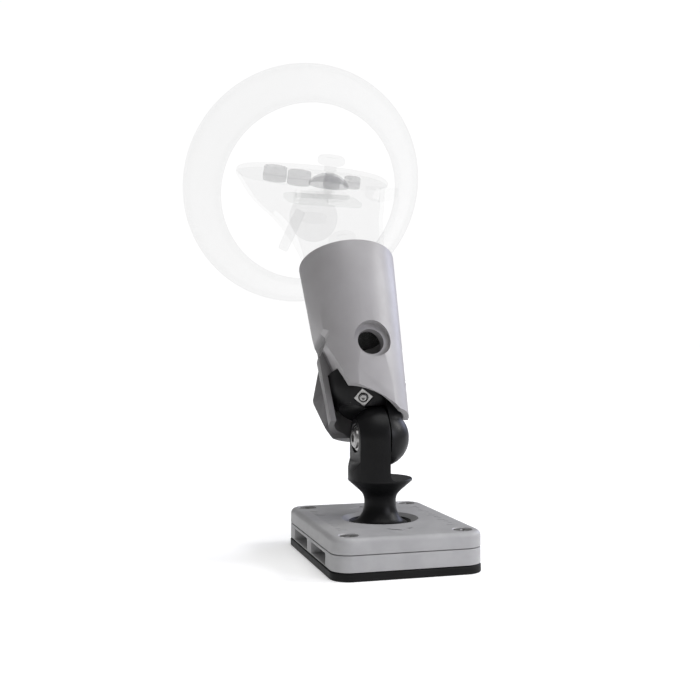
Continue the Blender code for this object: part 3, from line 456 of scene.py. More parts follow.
def softBox(name, place, aim, size, power, tint=(1, 1, 1)):
    data = bpy.data.lights.new(name, "AREA")
    data.shape = "DISK"
    data.size = size
    data.energy = power
    data.color = tint
    item = asObject(name, data)
    item.location = place
    item.rotation_euler = (Vector(aim) - Vector(place)).to_track_quat("-Z", "Y").to_euler()


def sunLight(name, direction, angle, power, tint=(1, 1, 1)):
    data = bpy.data.lights.new(name, "SUN")
    data.angle = math.radians(angle)
    data.energy = power
    data.color = tint
    item = asObject(name, data)
    item.rotation_euler = Vector(direction).to_track_quat("-Z", "Y").to_euler()


sunLight("keySun", (-0.93, 0.15, -0.62), 26.0, 1.5)
sunLight("topSun", (-0.05, 0.2, -1.0), 50.0, 1.5)
sunLight("frontSun", (-0.62, 0.75, -0.35), 22.0, 1.0, (0.90, 0.90, 1.0))
softBox("rimLight", (0.75, 0.45, 0.35), (0, 0.02, 0.1), 0.35, 1.5, (0.70, 0.74, 1.0))
world = bpy.data.worlds.new("room")
bpy.context.scene.world = world
world.use_nodes = True
roomTree = world.node_tree
roomPath = roomTree.nodes.new("ShaderNodeLightPath")
roomMix = roomTree.nodes.new("ShaderNodeMath")
roomMix.operation = "MULTIPLY_ADD"
roomMix.inputs[1].default_value = 0.82
roomMix.inputs[2].default_value = 0.20
roomTree.links.new(roomPath.outputs["Is Camera Ray"], roomMix.inputs[0])
roomTree.links.new(roomMix.outputs[0], roomTree.nodes["Background"].inputs["Strength"])
roomTree.nodes["Background"].inputs["Color"].default_value = (1, 1, 1, 1)
floorData = bpy.data.meshes.new("floor")
floorHalf = 14.0
floorData.from_pydata([(-floorHalf, -floorHalf, 0), (floorHalf, -floorHalf, 0), (floorHalf, floorHalf, 0),
                       (-floorHalf, floorHalf, 0)], [], [(0, 1, 2, 3)])
floorData.materials.append(whiteFloor())
asObject("floor", floorData)
print("camera, lights and floor made")


def baseSlab(low, high, grow=0.0, edge=0.0, lowEdge=0.0, steps=6):
    halfX, halfY = base["width"] / 2 + grow, base["depth"] / 2 + grow
    rings = []
    for i in range(steps + 1):
        a = math.radians(90 * i / steps)
        if lowEdge:
            rings.append((lowEdge * (1 - math.sin(a)), low + lowEdge * (1 - math.cos(a))))
    if not lowEdge:
        rings.append((0.0, low))
    if edge:
        for i in range(steps + 1):
            a = math.radians(90 * i / steps)
            rings.append((edge * (1 - math.cos(a)), high - edge * (1 - math.sin(a))))
    else:
        rings.append((0.0, high))
    return skin([[Vector((x, y, z)) for x, y in
                  roundedOutline(halfX - inset, halfY - inset, base["corner"] + grow - inset)] for inset,
                  z in rings])


def screwPlaces():
    x = base["width"] / 2 - base["screwX"]
    y = base["depth"] / 2 - base["screwY"]
    return ((-x, -y), (x, -y), (x, y), (-x, y))


def buildPlate():
    addPiece("groundPlate", baseSlab(0, base["plate"], base["overhang"], 0.5, 0.5, 4), coat, "base",
             ["base_plate"])


def buildHousing():
    slots = {"length": 25.4, "height": 5.2, "depth": 10.0, "offset": 16.6}
    low, high = base["housingLow"], base["housingTop"]
    tools = [(turned(((0, low - 1), (21.5, low - 1), (21.5, high + 1), (0, high + 1)), count=64),
              "DIFFERENCE")]
    middle = low + base["housing"] / 2 - 0.4
    for side in (-1, 1):
        for end in (-1, 1):
            near, far = sorted((side * (base["width"] / 2 - slots["depth"]),
                                side * (base["width"] / 2 + 1)))
            y = end * slots["offset"]
            tools.append((box((near, y - slots["length"] / 2, middle - slots["height"] / 2),
                              (far, y + slots["length"] / 2, middle + slots["height"] / 2)), "DIFFERENCE"))
    for x, y in screwPlaces():
        tools.append((turned(((0, low - 1), (3.3, low - 1), (3.3, high + 1), (0, high + 1)),
                             Matrix.Translation((x, y, 0)), 24), "DIFFERENCE"))
    addPiece("strapHousing", carve(baseSlab(low, high, 0.0, 0.35, 0.35, 3), tools, 0.22), baseGrey, "base",
             ["lower_housing"])


def marks():
    # plain gauge ticks along both long edges, and an arrow before and behind the dish
    gauge = {"count": 13, "step": 4.2, "long": 4.0, "short": 2.2, "wide": 0.75, "deep": 0.5, "x": 27.2}
    top = base["coverTop"]
    rings = []
    for side in (-1, 1):
        for i in range(gauge["count"]):
            y = (i - (gauge["count"] - 1) / 2) * gauge["step"]
            length = gauge["long"] if i % 3 == 0 else gauge["short"]
            near, far = sorted((side * gauge["x"], side * (gauge["x"] - length)))
            rings.append(box((near, y - gauge["wide"] / 2, top - gauge["deep"]),
                             (far, y + gauge["wide"] / 2, top + 1)))
    for end in (-1, 1):
        tip, tail, wide, thick = end * 33.5, end * 27.5, 7.0, 1.5
        arrow = [(0, tip), (wide, tail), (wide - thick * 1.6, tail), (0, tip - end * thick * 1.7),
                 (-wide + thick * 1.6, tail), (-wide, tail)]
        rings.append(prism(arrow, top - 0.6, top + 1))
    return [(tool, "DIFFERENCE") for tool in rings]


def buildCover():
    top, low = base["coverTop"], base["coverLow"]
    outer = ball["bowl"] + ball["wall"]
    nubRadius = math.sqrt(outer ** 2 - (ball["height"] - low) ** 2)
    nub = [(nubRadius * i / 5, bowlHeight(nubRadius * i / 5, outer)) for i in range(6)]
    nub += [(nubRadius + 2.0, low + 1.5), (0, low + 1.5)]
    rim = math.sqrt(ball["bowl"] ** 2 - (ball["height"] - top) ** 2)
    dish = [(rim * i / 14, bowlHeight(rim * i / 14, ball["bowl"])) for i in range(15)]
    dish += [(rim + 1.2, top + 1.3), (0, top + 1.3)]
    hole = ball["hole"]
    tools = [(turned(nub), "UNION"), (turned(dish, count=128), "DIFFERENCE"),
             (turned(((0, low - 8), (hole, low - 8), (hole, top), (0, top)), count=72), "DIFFERENCE")]
    for x, y in screwPlaces():
        tools.append((turned(((0, low - 1), (2.1, low - 1), (2.1, top - 2.7), (4.3, top - 0.3),
                              (4.5, top + 0.02),
                              (4.5, top + 1), (0, top + 1)), Matrix.Translation((x, y, 0)), 40),
                              "DIFFERENCE"))
    addPiece("topCover", carve(baseSlab(low, top, 0.0, base["edge"], 0.35, 7), tools + marks()), baseGrey,
             "base",
             ["top_cover"])


def screwMesh():
    # countersunk head with a hexagon recess, at the origin
    head, shank, drop, length, recess = 4.1, 1.9, 2.4, 13.0, 1.5
    profile = [(0, -length), (shank - 0.5, -length), (shank, -length + 0.5), (shank, -drop),
               (head - 0.1, -0.35),
               (head, -0.15), (head - 0.15, 0.0), (0, 0)]
    return carve(turned(profile, count=48), [(prism(hexagon(1.45), -recess, 1), "DIFFERENCE")], 0.1)


def gridOf(template, name, sizes, height, material):
    # a Geometry Nodes tree that stands one copy of the template on each point of a grid
    tree = bpy.data.node_groups.new(name + "Grid", "GeometryNodeTree")
    face = tree.interface
    face.new_socket("Geometry", in_out="OUTPUT", socket_type="NodeSocketGeometry")
    for label in ("Spread X", "Spread Y", "Height"):
        face.new_socket(label, in_out="INPUT", socket_type="NodeSocketFloat")
    face.new_socket("Template", in_out="INPUT", socket_type="NodeSocketObject")
    entry = tree.nodes.new("NodeGroupInput")
    leave = tree.nodes.new("NodeGroupOutput")
    grid = tree.nodes.new("GeometryNodeMeshGrid")
    grid.inputs["Vertices X"].default_value = 2
    grid.inputs["Vertices Y"].default_value = 2
    lift = tree.nodes.new("GeometryNodeTransform")
    join = tree.nodes.new("ShaderNodeCombineXYZ")
    info = tree.nodes.new("GeometryNodeObjectInfo")
    copies = tree.nodes.new("GeometryNodeInstanceOnPoints")
    real = tree.nodes.new("GeometryNodeRealizeInstances")
    paint = tree.nodes.new("GeometryNodeSetMaterial")
    paint.inputs["Material"].default_value = material
    link = tree.links.new
    link(entry.outputs["Spread X"], grid.inputs["Size X"])
    link(entry.outputs["Spread Y"], grid.inputs["Size Y"])
    link(entry.outputs["Height"], join.inputs["Z"])
    link(join.outputs[0], lift.inputs["Translation"])
    link(grid.outputs["Mesh"], lift.inputs["Geometry"])
    link(lift.outputs[0], copies.inputs["Points"])
    link(entry.outputs["Template"], info.inputs["Object"])
    link(info.outputs["Geometry"], copies.inputs["Instance"])
    link(copies.outputs[0], real.inputs[0])
    link(real.outputs[0], paint.inputs["Geometry"])
    link(paint.outputs[0], leave.inputs[0])
    source = asObject(name + "Template", template)
    host = asObject(name + "Host", bpy.data.meshes.new(name + "Host"))
    modifier = host.modifiers.new("grid", "NODES")
    modifier.node_group = tree
    sockets = {s.name: s.identifier for s in face.items_tree if s.in_out == "INPUT"}
    modifier[sockets["Spread X"]] = sizes[0] * mm
    modifier[sockets["Spread Y"]] = sizes[1] * mm
    modifier[sockets["Height"]] = height * mm
    modifier[sockets["Template"]] = source
    data = evaluated(host)
    host.modifiers.clear()
    for item in (host, source):
        bpy.data.objects.remove(item, do_unlink=True)
    return data


def buildScrews():
    x, y = screwPlaces()[2]
    data = gridOf(screwMesh(), "coverScrews", (2 * x, 2 * y), base["coverTop"] - gap, steel)
    addPiece("coverScrews", data, steel, "base", [f"cover_screw_{i}" for i in range(1, 5)])


buildPlate()
buildHousing()
buildCover()
buildScrews()
print("base made")


def buildSlider():
    outer = ball["bowl"] - gap
    radii = [14.4 * i / 12 for i in range(13)]
    profile = [(r, bowlHeight(r, outer)) for r in radii]
    profile += [(r, bowlHeight(r, outer - ball["slider"])) for r in reversed(radii)]
    half, width = 8.4, 4.2
    slot = [(half - width + width * math.cos(math.radians(a)), width * math.sin(math.radians(a)))
            for a in range(-90, 91, 10)]
    slot += [(-x, -y) for x, y in slot]
    addPiece("slottedSlider", carve(turned(profile), [(prism(slot, 5, 19), "DIFFERENCE")]), black, "slider",
             ["slotted_slider"])


def curveThrough(points, steps=6):
    # a smooth profile through a few points
    result = []
    for i in range(len(points) - 1):
        before = points[max(0, i - 1)]
        start, end = points[i], points[i + 1]
        after = points[min(len(points) - 1, i + 2)]
        for step in range(steps):
            t = step / steps
            values = []
            for axis in range(len(start)):
                a, b, c, d = before[axis], start[axis], end[axis], after[axis]
                values.append(0.5 * (2 * b + (c - a) * t + (2 * a - 5 * b + 4 * c - d) * t * t
                                     + (3 * b - a - 3 * c + d) * t ** 3))
            result.append(tuple(values))
    return result + [tuple(points[-1])]


def buildPost():
    post = {"stem": 4.0, "foot": 12.6, "flange": 15.0, "flangeLow": 35.8, "flangeTop": 36.9, "ear": 14.9,
            "left": -12.1,
            "right": 0.4, "fillet": 3.0, "slopeLow": 38.2, "slopeTop": 45.4, "bolt": 3.2, "head": 6.3,
            "sink": 2.2}
    under = ball["bowl"] - ball["slider"] - 2 * gap
    profile = [(0, 8.5), (post["stem"], 8.5)]
    profile += [(r, bowlHeight(r, under)) for r in (post["stem"], 6, 8, 10, 11.5, post["foot"])]
    profile += [(12.55, 16.45)]
    profile += curveThrough([(12.1, 16.75), (10.9, 17.3), (9.7, 18.5), (8.6, 20.3), (7.9, 22.0),
                             (7.4, 24.6),
                             (7.45, 27.4), (8.2, 29.6), (9.9, 31.5)], 5)
    profile += [(post["flange"] - 0.3, post["flangeLow"] - 0.1), (post["flange"], post["flangeLow"] + 0.3),
                (post["flange"], post["flangeTop"] - 0.3), (post["flange"] - 0.3, post["flangeTop"]),
                (0, post["flangeTop"])]
    flange, top, right = post["flange"], post["flangeTop"], post["right"] + post["fillet"]
    inside, sink = flange - 0.06, 0.5
    ear = [(0, top - sink), (inside, top - sink)]
    ear += [(inside * math.cos(math.radians(a)),
             pivotHeight + post["ear"] * math.sin(math.radians(a))) for a in range(0, 90, 3)]
    ear += [(0, pivotHeight + post["ear"])]
    fillet = [(right - post["fillet"] * math.cos(math.radians(a)),
               top + post["fillet"] * (1 - math.sin(math.radians(a))))
              for a in range(0, 85, 10)]
    trim = [(-16, top - 1), (-16, post["slopeLow"]), (post["left"], post["slopeTop"]), (post["left"], 80),
            (post["right"], 80)]
    trim += fillet + [(right, top - 0.1), (right, top - 1)]
    ear = carve(turned(ear, count=160), [(prism(trim, -30, 30, upright), "INTERSECT")], 0.3)
    axis = alongX(Matrix.Translation((0, 0, pivotHeight)))
    seat = post["left"] + post["sink"]
    bore = turned(((0, -30), (post["head"] + 0.5, -30), (post["head"] + 0.5, post["left"] - 0.02),
                   (post["head"], post["left"] + 0.5), (post["head"], seat), (post["bolt"], seat),
                   (post["bolt"], 2), (0, 2)),
                  axis, 64)
    addPiece("stickPost", carve(turned(profile), [(ear, "UNION"), (bore, "DIFFERENCE")]), black, "stick",
             ["stick_post"])


def buildBolt():
    axis = alongX(Matrix.Translation((0, 0, pivotHeight)))
    seat = -10.2
    headTop = seat - 3.0
    profile = [(0, headTop), (2.9, headTop)]
    profile += [(2.9 + 1.9 * math.sin(math.radians(a)), headTop + 1.6 * (1 - math.cos(math.radians(a))))
                for a in (30, 60, 90)]
    profile += [(5.7, headTop + 1.7), (5.9, headTop + 1.9), (5.9, seat - 0.15), (5.75, seat), (3.0, seat),
                (3.0, 9.9),
                (2.7, 10.2), (0, 10.2)]
    addPiece("knuckleBolt",
             carve(turned(profile, axis, 64), [(prism(hexagon(2.3), headTop - 1, headTop + 1.9, axis),
                                                               "DIFFERENCE")]), steel, "stick",
                                                               ["knuckle_bolt"])


buildSlider()
buildPost()
buildBolt()
print("stick made")


fork = {"left": 1.6, "thick": 8.6, "radius": 13.5, "clear": 15.5, "drop": 1.0}
fork["right"] = fork["left"] + fork["thick"]
notch = ((-60.0, 70.0), (-28.5, 70.0), (-26.4, 62.0), (-24.8, 56.0), (-23.2, 51.5), (-21.6, 49.8),
         (-21.6, 47.4),
         (-24.5, 41.0), (-30.0, 38.0), (-60.0, 38.0))
skirt = ((-60.0, 45.0), (-23.5, 45.0), (-15.8, 21.0), (-8.8, 17.9), (-1.6, 14.1), (3.9, 10.0), (7.9, 7.2),
         (13.4, 6.0),
         (18.0, 5.6))
hood = {"outer": ((0.0, 51.0), (17.4, 50.5), (25.3, 24.6), (25.3, 22.6), (20.6, 6.0), (0.0, 6.0)),
        "face": Vector((-27.5, 12.0, 23.6)),
        "out": (Vector((-0.787, -0.618, 0.12)), Vector((-0.75, -0.59, -0.3))),
        "edge": -10.0, "front": -2.0}


def plugRadius(height):
    return cupRadius(height) - cup["wall"] - gap


def clampFacet():
    out = Vector((-0.29, -0.69, -0.66)).normalized()
    point = Vector((cup["offset"], 0, cup["plug"])) + out * (plugRadius(cup["plug"]) - fork["drop"])
    return knuckle @ Matrix.Translation(point) @ (out.to_track_quat("Z", "Y").to_matrix().to_4x4()
                                                        @ Matrix.Rotation(math.radians(40), 4, "Z"))


def buildArm():
    top, centre = cup["collarLow"] - gap, cup["plug"]
    radius = plugRadius(centre)
    end = [(radius * math.sin(math.radians(a)),
            centre - radius * math.cos(math.radians(a))) for a in range(5, 91, 5)]
    plug = turned([(0, centre - radius)] + end + [(plugRadius(top), top), (0, top)], cupFrame, 128)
    axis = alongX(knuckle)
    low, high = skirt[-1][1] - 2 * gap, centre - 4
    size = fork["radius"]
    neck = math.sqrt(size ** 2 - low ** 2)
    ball = [(size * math.cos(math.radians(a)), size * math.sin(math.radians(a))) for a in range(-85, 25, 5)]
    reach = plugRadius(low) - 0.05
    cone = turned(((0, -30), (40, -30), (40, low - 1), (reach, low), (reach, high + 1), (0, high + 1)),
                  cupFrame, 96)
    half = carve(turned([(0, -size)] + ball + [(neck, low), (neck, high), (0, high)], knuckle, 112),
                 [(box((fork["left"], -30, -30), (30, 30, 30), knuckle), "INTERSECT"), (cone, "INTERSECT")])
    hollow = turned(((0, -40), (fork["clear"], -40), (fork["clear"], 40), (0, 40)), axis, 96)
    facet = clampFacet()
    side = 6.4 / 2 + 0.2
    tools = [(hollow, "DIFFERENCE"), (half, "UNION"),
             (box((-6.2, -6.2, 0), (6.2, 6.2, 4), facet), "DIFFERENCE"),
             (box((-side, -side, -2.9), (side, side, 1), facet), "DIFFERENCE"),
             (turned(((0, -5), (2.1, -5), (2.1, 1), (0, 1)), facet, 32), "DIFFERENCE"),
             (turned(((0, 0.5), (3.2, 0.5), (3.2, 14.5), (0, 14.5)), axis, 48), "DIFFERENCE"),
             (prism(hexagon(6.0), fork["right"] - 5.1, 14.5, axis), "DIFFERENCE")]
    for turn in cup["screwTurns"]:
        tools.append((turned(((0, -9), (1.8, -9), (1.8, 2), (0, 2)), cupScrewFrame(turn), 24),
                      "DIFFERENCE"))
    addPiece("knuckleArm", carve(plug, tools), black, "cup", ["knuckle_arm"])


def cupScrewFrame(turn):
    height = cup["screwHeight"]
    return (cupFrame @ Matrix.Rotation(math.radians(turn), 4,
                                       "Z") @ Matrix.Translation((cupRadius(height), 0, height))
            @ Matrix.Rotation(math.radians(90), 4, "Y"))


def buildCup():
    inner = cupRadius(cup["collarLow"]) - cup["collarWall"]
    rim, wall, radius = cup["rim"], cup["wall"], cup["rimRadius"]
    lip = 0.75
    profile = [(cupRadius(cup["bottom"]), cup["bottom"])]
    profile += [(cupRadius(h), h) for h in (30, 50, 70)]
    for i in range(7):
        a = math.radians(180 * i / 6)
        middle = radius - lip
        profile.append((middle + lip * math.cos(a), rim - lip + lip * math.sin(a)))
    profile += [(radius - wall, rim - lip - 1.2), (cupRadius(cup["collarTop"]) - wall, cup["collarTop"]),
                (inner, cup["collarTop"] - 1), (inner, cup["collarLow"]),
                (cupRadius(cup["collarLow"]) - wall, cup["collarLow"]),
                (cupRadius(cup["bottom"]) - wall, cup["bottom"])]
    reach = 60.0
    upper = knuckle @ upright
    flat = -(cupRadius(26) - cup["flat"])
    tip = Matrix.Translation((0, flat, 26)) @ Matrix.Rotation(math.radians(6.0), 4, "X")
    mouth = cupRadius(cup["port"])
    port = (cupFrame @ Matrix.Translation((cup["portX"], -mouth, cup["port"]))
            @ Matrix.Rotation(math.radians(90 + cup["portTurn"]), 4, "X"))
    step = -cup["portDepth"]
    hole = turned(((0, -15), (cup["portInner"], -15), (cup["portInner"], step), (cup["portRadius"], step),
                   (cup["portRadius"], 20), (0, 20)), port, 96)
    swing = fork["clear"] + 0.5
    shaping = [(box((-reach, hood["front"] + 0.2, -20), (hood["edge"] + 2.5, reach, reach), knuckle),
                "INTERSECT"),
               (turned(((0, -reach), (swing, -reach), (swing, reach), (0, reach)), alongX(knuckle), 96),
                "DIFFERENCE")]
    for out in hood["out"]:
        face = knuckle @ Matrix.Translation(hood["face"]) @ out.to_track_quat("Z", "Y").to_matrix().to_4x4()
        shaping.append((box((-reach, -reach, 0), (reach, reach, reach), face), "DIFFERENCE"))
    guard = carve(turned(hood["outer"][::-1], cupFrame, 128), shaping)
    slack = 0.02
    low, high = cup["collarLow"] - slack, cup["collarTop"] - 1.5
    bore = turned(((0, -20), (cupRadius(-20) - wall + slack, -20),
                   (cupRadius(cup["collarLow"]) - wall + slack, low),
                   (inner + slack, low), (inner + slack, high), (0, high)), cupFrame, 160)
    under = curveThrough(skirt[2:], 5)
    tools = [(prism([notch[0]] + curveThrough(notch[1:5], 5) + list(notch[5:]), -reach, reach, upper),
              "DIFFERENCE"),
             (prism(list(skirt[:2]) + under + [(reach, 0), (reach, -20), (-reach, -20)], -hood["front"],
                    reach, upper),
              "DIFFERENCE"),
             (box((hood["edge"] + 1, -1, -20), (40, 40, cup["backBottom"]), knuckle), "DIFFERENCE"),
             (guard, "UNION"), (bore, "DIFFERENCE"),
             (box((-30, -10, -30), (30, 0, 45), cupFrame @ tip), "DIFFERENCE"), (hole, "DIFFERENCE")]
    for turn in cup["screwTurns"]:
        tools.append((turned(((0, -6), (1.8, -6), (1.8, -1.4), (3.2, -1.4), (3.2, 4), (0, 4)),
                             cupScrewFrame(turn), 32),
                      "DIFFERENCE"))
    # the cup's grey carries a painted shade on the guard, darkened to stand in for the shadow there
    greyWithPaintedShade = printedGreyWithPaintedShade(knuckle, hood["front"], hood["outer"][1][1], 0.55)
    sleeve = carve(turned(profile, cupFrame, 160, True), tools, 0.3)
    addPiece("cupSleeve", sleeve, greyWithPaintedShade, "cup", ["cup_sleeve"])


def buildCupFittings():
    axis = alongX(knuckle)
    right = fork["right"] - 0.2
    nut = carve(prism(hexagon(5.6), right - 4.6, right, axis),
                [(turned(((0, 0), (3.2, 0), (3.2, 20), (0, 20)), axis, 40), "DIFFERENCE"),
                 (turned(((0, right - 12), (6.8, right - 0.9), (5.0, right + 0.35), (0, right + 0.35)),
                         axis, 48), "INTERSECT")])
    addPiece("knuckleNut", nut, steel, "cup", ["knuckle_nut"])
    facet = clampFacet()
    half, top = 3.2, -0.4
    square = carve(box((-half, -half, top - 2.3), (half, half, top), facet),
                   [(turned(((0, -6), (2.0, -6), (2.0, top - 0.4), (2.5, top + 0.1), (0, top + 0.1)), facet,
                            40), "DIFFERENCE")], 0.2)
    addPiece("clampNut", square, steel, "cup", ["clamp_nut"])
    tip = top - 2.6
    addPiece("clampScrew",
             carve(turned(((0, tip), (1.9, tip), (1.9, -0.2), (1.4, 0.3), (0, 0.3)), facet, 40),
                                 [(prism(hexagon(0.95), -1.0, 1, facet), "DIFFERENCE")]),
             steel, "cup", ["clamp_screw"])
    for number, turn in enumerate(cup["screwTurns"], 1):
        place = cupScrewFrame(turn)
        profile = [(0, -8), (1.6, -8), (1.6, -1.1), (3.0, -1.1), (3.0, 0.1)]
        profile += [(3.0 - 1.3 * (1 - math.cos(math.radians(a))),
                     0.1 + 0.65 * math.sin(math.radians(a))) for a in (30, 60, 90)]
        profile += [(0, 0.75)]
        addPiece(f"cupScrew{number}",
                 carve(turned(profile, place, 40), [(prism(hexagon(1.2), -0.5, 2, place), "DIFFERENCE")]),
                 steel, "cup", [f"cup_screw_{number}"])


buildArm()
buildCup()
buildCupFittings()
print("cup and fork made")


def bodyRings(inset=0.0, steps=7):
    stations = (
        ((0, 0, 54.0 + inset), 14.9, 14.9, -lean, True),
        ((0, 0, 55.6 + inset), 16.2, 16.2, -lean, True),
        ((0, 0, 58.0 + inset), 16.5, 16.5, -lean, True),
        ((0, 0, cup["rim"] - 8), 19.4, 17.6, -lean, True),
        ((-0.6, 0.4, cup["rim"] + 3), 20.6, 17.8, -25.0, True),
        ((-6.8, 49.5, 152.5), 23.4, 20.0, -15.0, False),
        ((-10.4, 55.0, 163.0), 28.0, 23.6, -1.0, False),
        ((-14.2, 59.6, 171.6), 34.0, 26.2, 10.0, False),
        (headFrame @ Vector((0, 0, -2.4)), head["halfX"] - 1.2, head["halfY"] - 0.8, head["tilt"], False),
        (headFrame @ Vector((0, 0, 0)), head["halfX"], head["halfY"], head["tilt"], False),
    )
    rows = []
    for index, (centre, halfX, halfY, tilt, inCup) in enumerate(stations):
        spot = cupFrame @ Vector(centre) if inCup else Vector(centre)
        roll = head["roll"] * max(0, index - 4) / 5
        rows.append((*spot, halfX - inset, halfY - inset, tilt, roll))
    rings = []
    for x, y, z, halfX, halfY, tilt, roll in curveThrough(rows, steps):
        place = (Matrix.Translation((x, y, z)) @ Matrix.Rotation(math.radians(tilt), 4, "X")
                 @ Matrix.Rotation(math.radians(roll), 4, "Y"))
        rings.append([place @ Vector((px, py, 0)) for px, py in oval(halfX, halfY)])
    return rings


trigger = {"centre": Vector((-8.5, 95.0, 169.0)), "radius": 13.4, "thick": 6.5, "half": 7.6}
trigger["pinPlace"] = trigger["centre"] + Vector((0, -2.2, trigger["radius"] - 1.8))
trigger["face"] = Matrix.Translation(trigger["centre"]) @ Matrix.Rotation(math.radians(-84), 4, "X")
gripPad = {"centre": Vector((-30.6, 51.5, 156.5)), "halfY": 7.6, "halfZ": 11.8, "thick": 5.0}


def gripBlock(grow, depth, count=64):
    halfY, halfZ = gripPad["halfY"] + grow, gripPad["halfZ"] + grow
    angles = [2 * math.pi * i / count for i in range(count)]
    outline = [(math.cos(a) * halfY * (0.78 + 0.22 * math.sin(a)), math.sin(a) * halfZ) for a in angles]
    turn = Matrix(((0, 0, -1, 0), (1, 0, 0, 0), (0, 1, 0, 0), (0, 0, 0, 1)))
    place = (Matrix.Translation(gripPad["centre"]) @ Matrix.Rotation(math.radians(-14), 4, "X")
             @ Matrix.Rotation(math.radians(26), 4, "Y") @ turn)
    return prism(outline, -depth / 2, depth / 2, place)


def headPlace(x, y, z=0.0):
    return headFrame @ Matrix.Translation((x, y, z))


def buildHandle():
    inner = bodyRings(2.2)
    inner.append([p + (headFrame.to_3x3() @ Vector((0, 0, 4))) for p in inner[-1]])
    pin = trigger["pinPlace"]
    tools = []
    for side in (-1, 1):
        near, far = sorted((side * (trigger["half"] + gap), side * (trigger["half"] + gap + 3.4)))
        tools.append((box((pin.x + near, pin.y - 11.0, pin.z - 3.2),
                          (pin.x + far, pin.y + 2.8, pin.z + 2.6)), "UNION"))
    tools += [(skin(inner), "DIFFERENCE"),
              (turned(((0, -25), (1.4, -25), (1.4, 25), (0, 25)), alongX(Matrix.Translation(pin)), 32),
               "DIFFERENCE"),
              (gripBlock(0.7, 24.0), "DIFFERENCE"),
              (box((10, -6.3, -9), (60, 6.3, -2.5), headFrame), "DIFFERENCE")]
    addPiece("handleShell", carve(skin(bodyRings()), tools), shellClear, "controller", ["handle_shell"])


buttons = {"button_a": (-21.6, -7.4, 5.9, 3.4), "button_b": (-10.4, -13.8, 5.9, 3.0),
           "button_menu": (5.6, -18.0, 4.2, 1.8),
           "button_system": (17.6, -13.4, 4.2, 1.8)}
stick = {"x": 9.0, "y": 0.0, "cap": 7.2, "stem": 3.4, "dome": 11.6, "module": 10.4}


def buildFace():
    rings = [[headFrame @ Vector((x, y, z)) for x, y in oval(head["halfX"] - inset, head["halfY"] - inset)]
             for inset,
             z in ((0.45, 0.3), (0.12, 0.5), (0.0, 0.9), (0.05, 1.6), (0.45, 2.3), (1.1, 2.75), (2.0, 2.9))]
    hole = stick["dome"] + gap
    tools = [(turned(((0, -3), (hole, -3), (hole, 8), (0, 8)), headPlace(stick["x"], stick["y"]), 72),
              "DIFFERENCE")]
    for x, y, radius, height in buttons.values():
        tools.append((turned(((0, -3), (radius + gap, -3), (radius + gap, 8), (0, 8)), headPlace(x, y), 48),
                      "DIFFERENCE"))
    addPiece("facePlate", carve(skin(rings), tools, 0.25), faceClear, "controller", ["face_plate"])


def ringBand(low, high, count=192, soft=0.45):
    slant = math.atan2(ring["big"] - ring["small"] - ring["wall"], ring["depth"])
    across, along = math.cos(slant), -math.sin(slant)
    farR = ring["big"] - ring["wall"] * across

    def at(t, offset):
        return (ring["small"] + (farR - ring["small"]) * t + across * offset,
                (t - 0.5) * ring["depth"] + along * offset)

    corner = soft / ring["depth"]
    points = [at(0, low + soft * 0.4), at(0, high - soft * 0.4), at(corner, high)]
    points += [at(t, high) for t in (0.3, 0.6)]
    points += [at(1 - corner, high), at(1, high - soft * 0.4), at(1, low + soft * 0.4), at(1 - corner, low)]
    points += [at(t, low) for t in (0.6, 0.3)] + [at(corner, low)]
    return turned(points, ringFrame, count, True)


def buildRing():
    small, big = ring["small"], ring["big"]
    addPiece("ringInnerCover", ringBand(0.0, ring["skin"]),
             ringShell("innerCoverClear", small, big - ring["wall"]),
             "controller", ["ring_inner_cover"])
    addPiece("ringOuterCover", ringBand(ring["wall"] - ring["skin"], ring["wall"]),
             ringShell("outerCoverClear", big, small + ring["wall"]), "controller", ["ring_outer_cover"])
    strip = (ring["wall"] - 2 * ring["skin"]) / 2 - gap
    addPiece("ringStrip", ringBand(ring["wall"] / 2 - strip, ring["wall"] / 2 + strip, 96, 0.1), stripClear,
             "controller",
             ["ring_led_strip"])


def buildStick():
    place = headPlace(stick["x"], stick["y"])
    radius = stick["module"]
    module = carve(turned(((0, -9.6), (radius - 0.3, -9.6), (radius, -9.3), (radius, -6.8),
                           (radius - 0.3, -6.5), (0, -6.5)), place, 72),
                   [(turned(((0, -8.7), (5.2, -8.7), (6.4, -6), (0, -6)), place, 48), "DIFFERENCE")])
    addPiece("stickModule", module, innerClear, "controller", ["thumbstick_module"])
    dome = 13.0
    radii = [2.4 + 8.2 * i / 12 for i in range(13)]
    shell = [(r, math.sqrt(dome ** 2 - r ** 2) - 9.6) for r in radii]
    under = [(r, z - 1.2) for r, z in reversed(shell)]
    addPiece("stickDome", turned(shell + under, place, 72, True), buttonClear, "thumb_dome",
             ["thumbstick_dome"])
    top = 12.4
    cap, stem = stick["cap"], stick["stem"]
    profile = [(0, -7.4), (2.0, -7.4), (2.0, 3.9), (stem, 4.6)]
    profile += curveThrough([(stem, 4.7), (stem - 0.25, 6.0), (stem + 0.1, 7.2), (cap - 1.4, 7.8),
                             (cap - 0.3, 8.6), (cap, 9.8),
                             (cap - 0.25, 11.3), (cap - 1.2, 12.3), (cap - 2.4, 12.2), (3.2, 11.7),
                             (1.2, 11.5)], 4)
    profile += [(0, 11.5)]
    addPiece("stickCap", turned(profile, place, 72), faceClear, "thumb_cap", ["thumbstick_cap"])


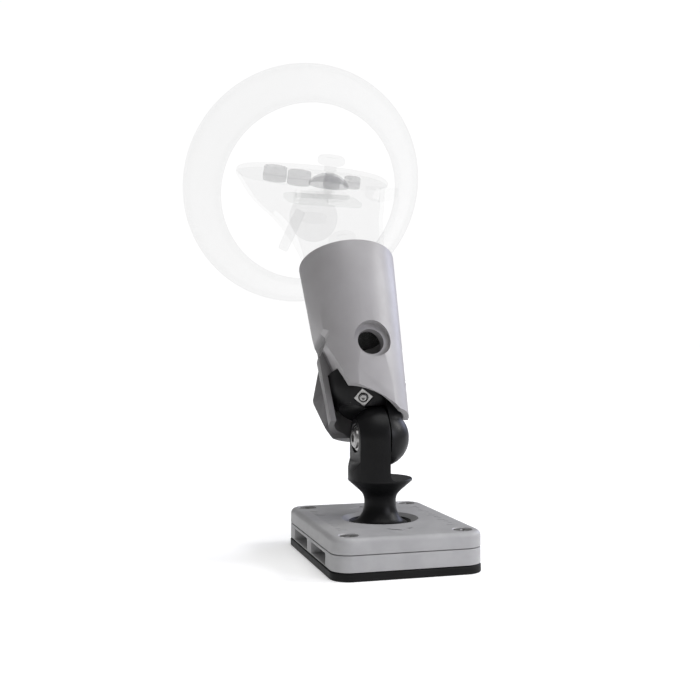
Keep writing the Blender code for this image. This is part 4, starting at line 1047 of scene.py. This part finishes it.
def buildButtons():
    for name, (x, y, radius, height) in buttons.items():
        top = 2.9 + height
        profile = [(0, -1.0), (radius - 0.2, -1.0), (radius, -0.8), (radius, top - 0.9)]
        profile += [(radius - 0.8 * (1 - math.cos(math.radians(a))),
                     top - 0.9 + 0.8 * math.sin(math.radians(a)))
                    for a in (22, 45, 68, 90)]
        profile += [(radius * 0.5, top - 0.02), (0, top)]
        addPiece(name + "Cap", turned(profile, headPlace(x, y), 64), buttonClear, name, [name])


def buildTrigger():
    radius, half = trigger["radius"], trigger["thick"] / 2
    profile = [(0, -half), (radius - 1.6, -half), (radius - 0.5, -half + 0.5), (radius, -half + 1.6),
               (radius, half - 2.4),
               (radius - 0.9, half - 0.9), (radius - 3.0, half), (radius * 0.5, half + 0.7),
               (0, half + 1.0)]
    pin = trigger["pinPlace"]
    axis = alongX(Matrix.Translation(pin))
    wide = trigger["half"]
    tools = [(box((pin.x + wide, pin.y - 30, pin.z - 4.6), (pin.x + 40, pin.y + 30, pin.z + 30)),
              "DIFFERENCE"),
             (box((pin.x - 40, pin.y - 30, pin.z - 4.6), (pin.x - wide, pin.y + 30, pin.z + 30)),
              "DIFFERENCE"),
             (turned(((0, -wide), (2.8, -wide), (2.8, wide), (0, wide)), axis, 40), "UNION"),
             (turned(((0, -20), (1.4, -20), (1.4, 20), (0, 20)), axis, 32), "DIFFERENCE")]
    addPiece("triggerPad", carve(turned(profile, trigger["face"], 72), tools), triggerClear, "trigger",
             ["trigger"])
    addPiece("gripPad", carve(gripBlock(0.0, gripPad["thick"]), [], 0.8), triggerClear, "grip_button",
             ["grip_button"])


buildHandle()
buildFace()
buildRing()
buildStick()
buildButtons()
buildTrigger()
print("controller made")


def dress(nodes, material):
    for node in nodes:
        item = bpy.data.objects[node]
        item.data.materials.clear()
        item.data.materials.append(material)


dress([f"threaded_insert_{i}" for i in range(1, 5)], brass)
dress([f"centring_spring_{i}" for i in range(1, 5)] + ["spring_hub", "hub_screw", "friction_washer"], steel)
dress(["cup_liner"], rubber)
dress(["ring_bridge", "battery_cell", "battery_contact", "haptic_motor", "trigger_pin", "thumbstick_yoke"],
      innerClear)
dress(["main_board"], boardLook)
print("inner pieces dressed")
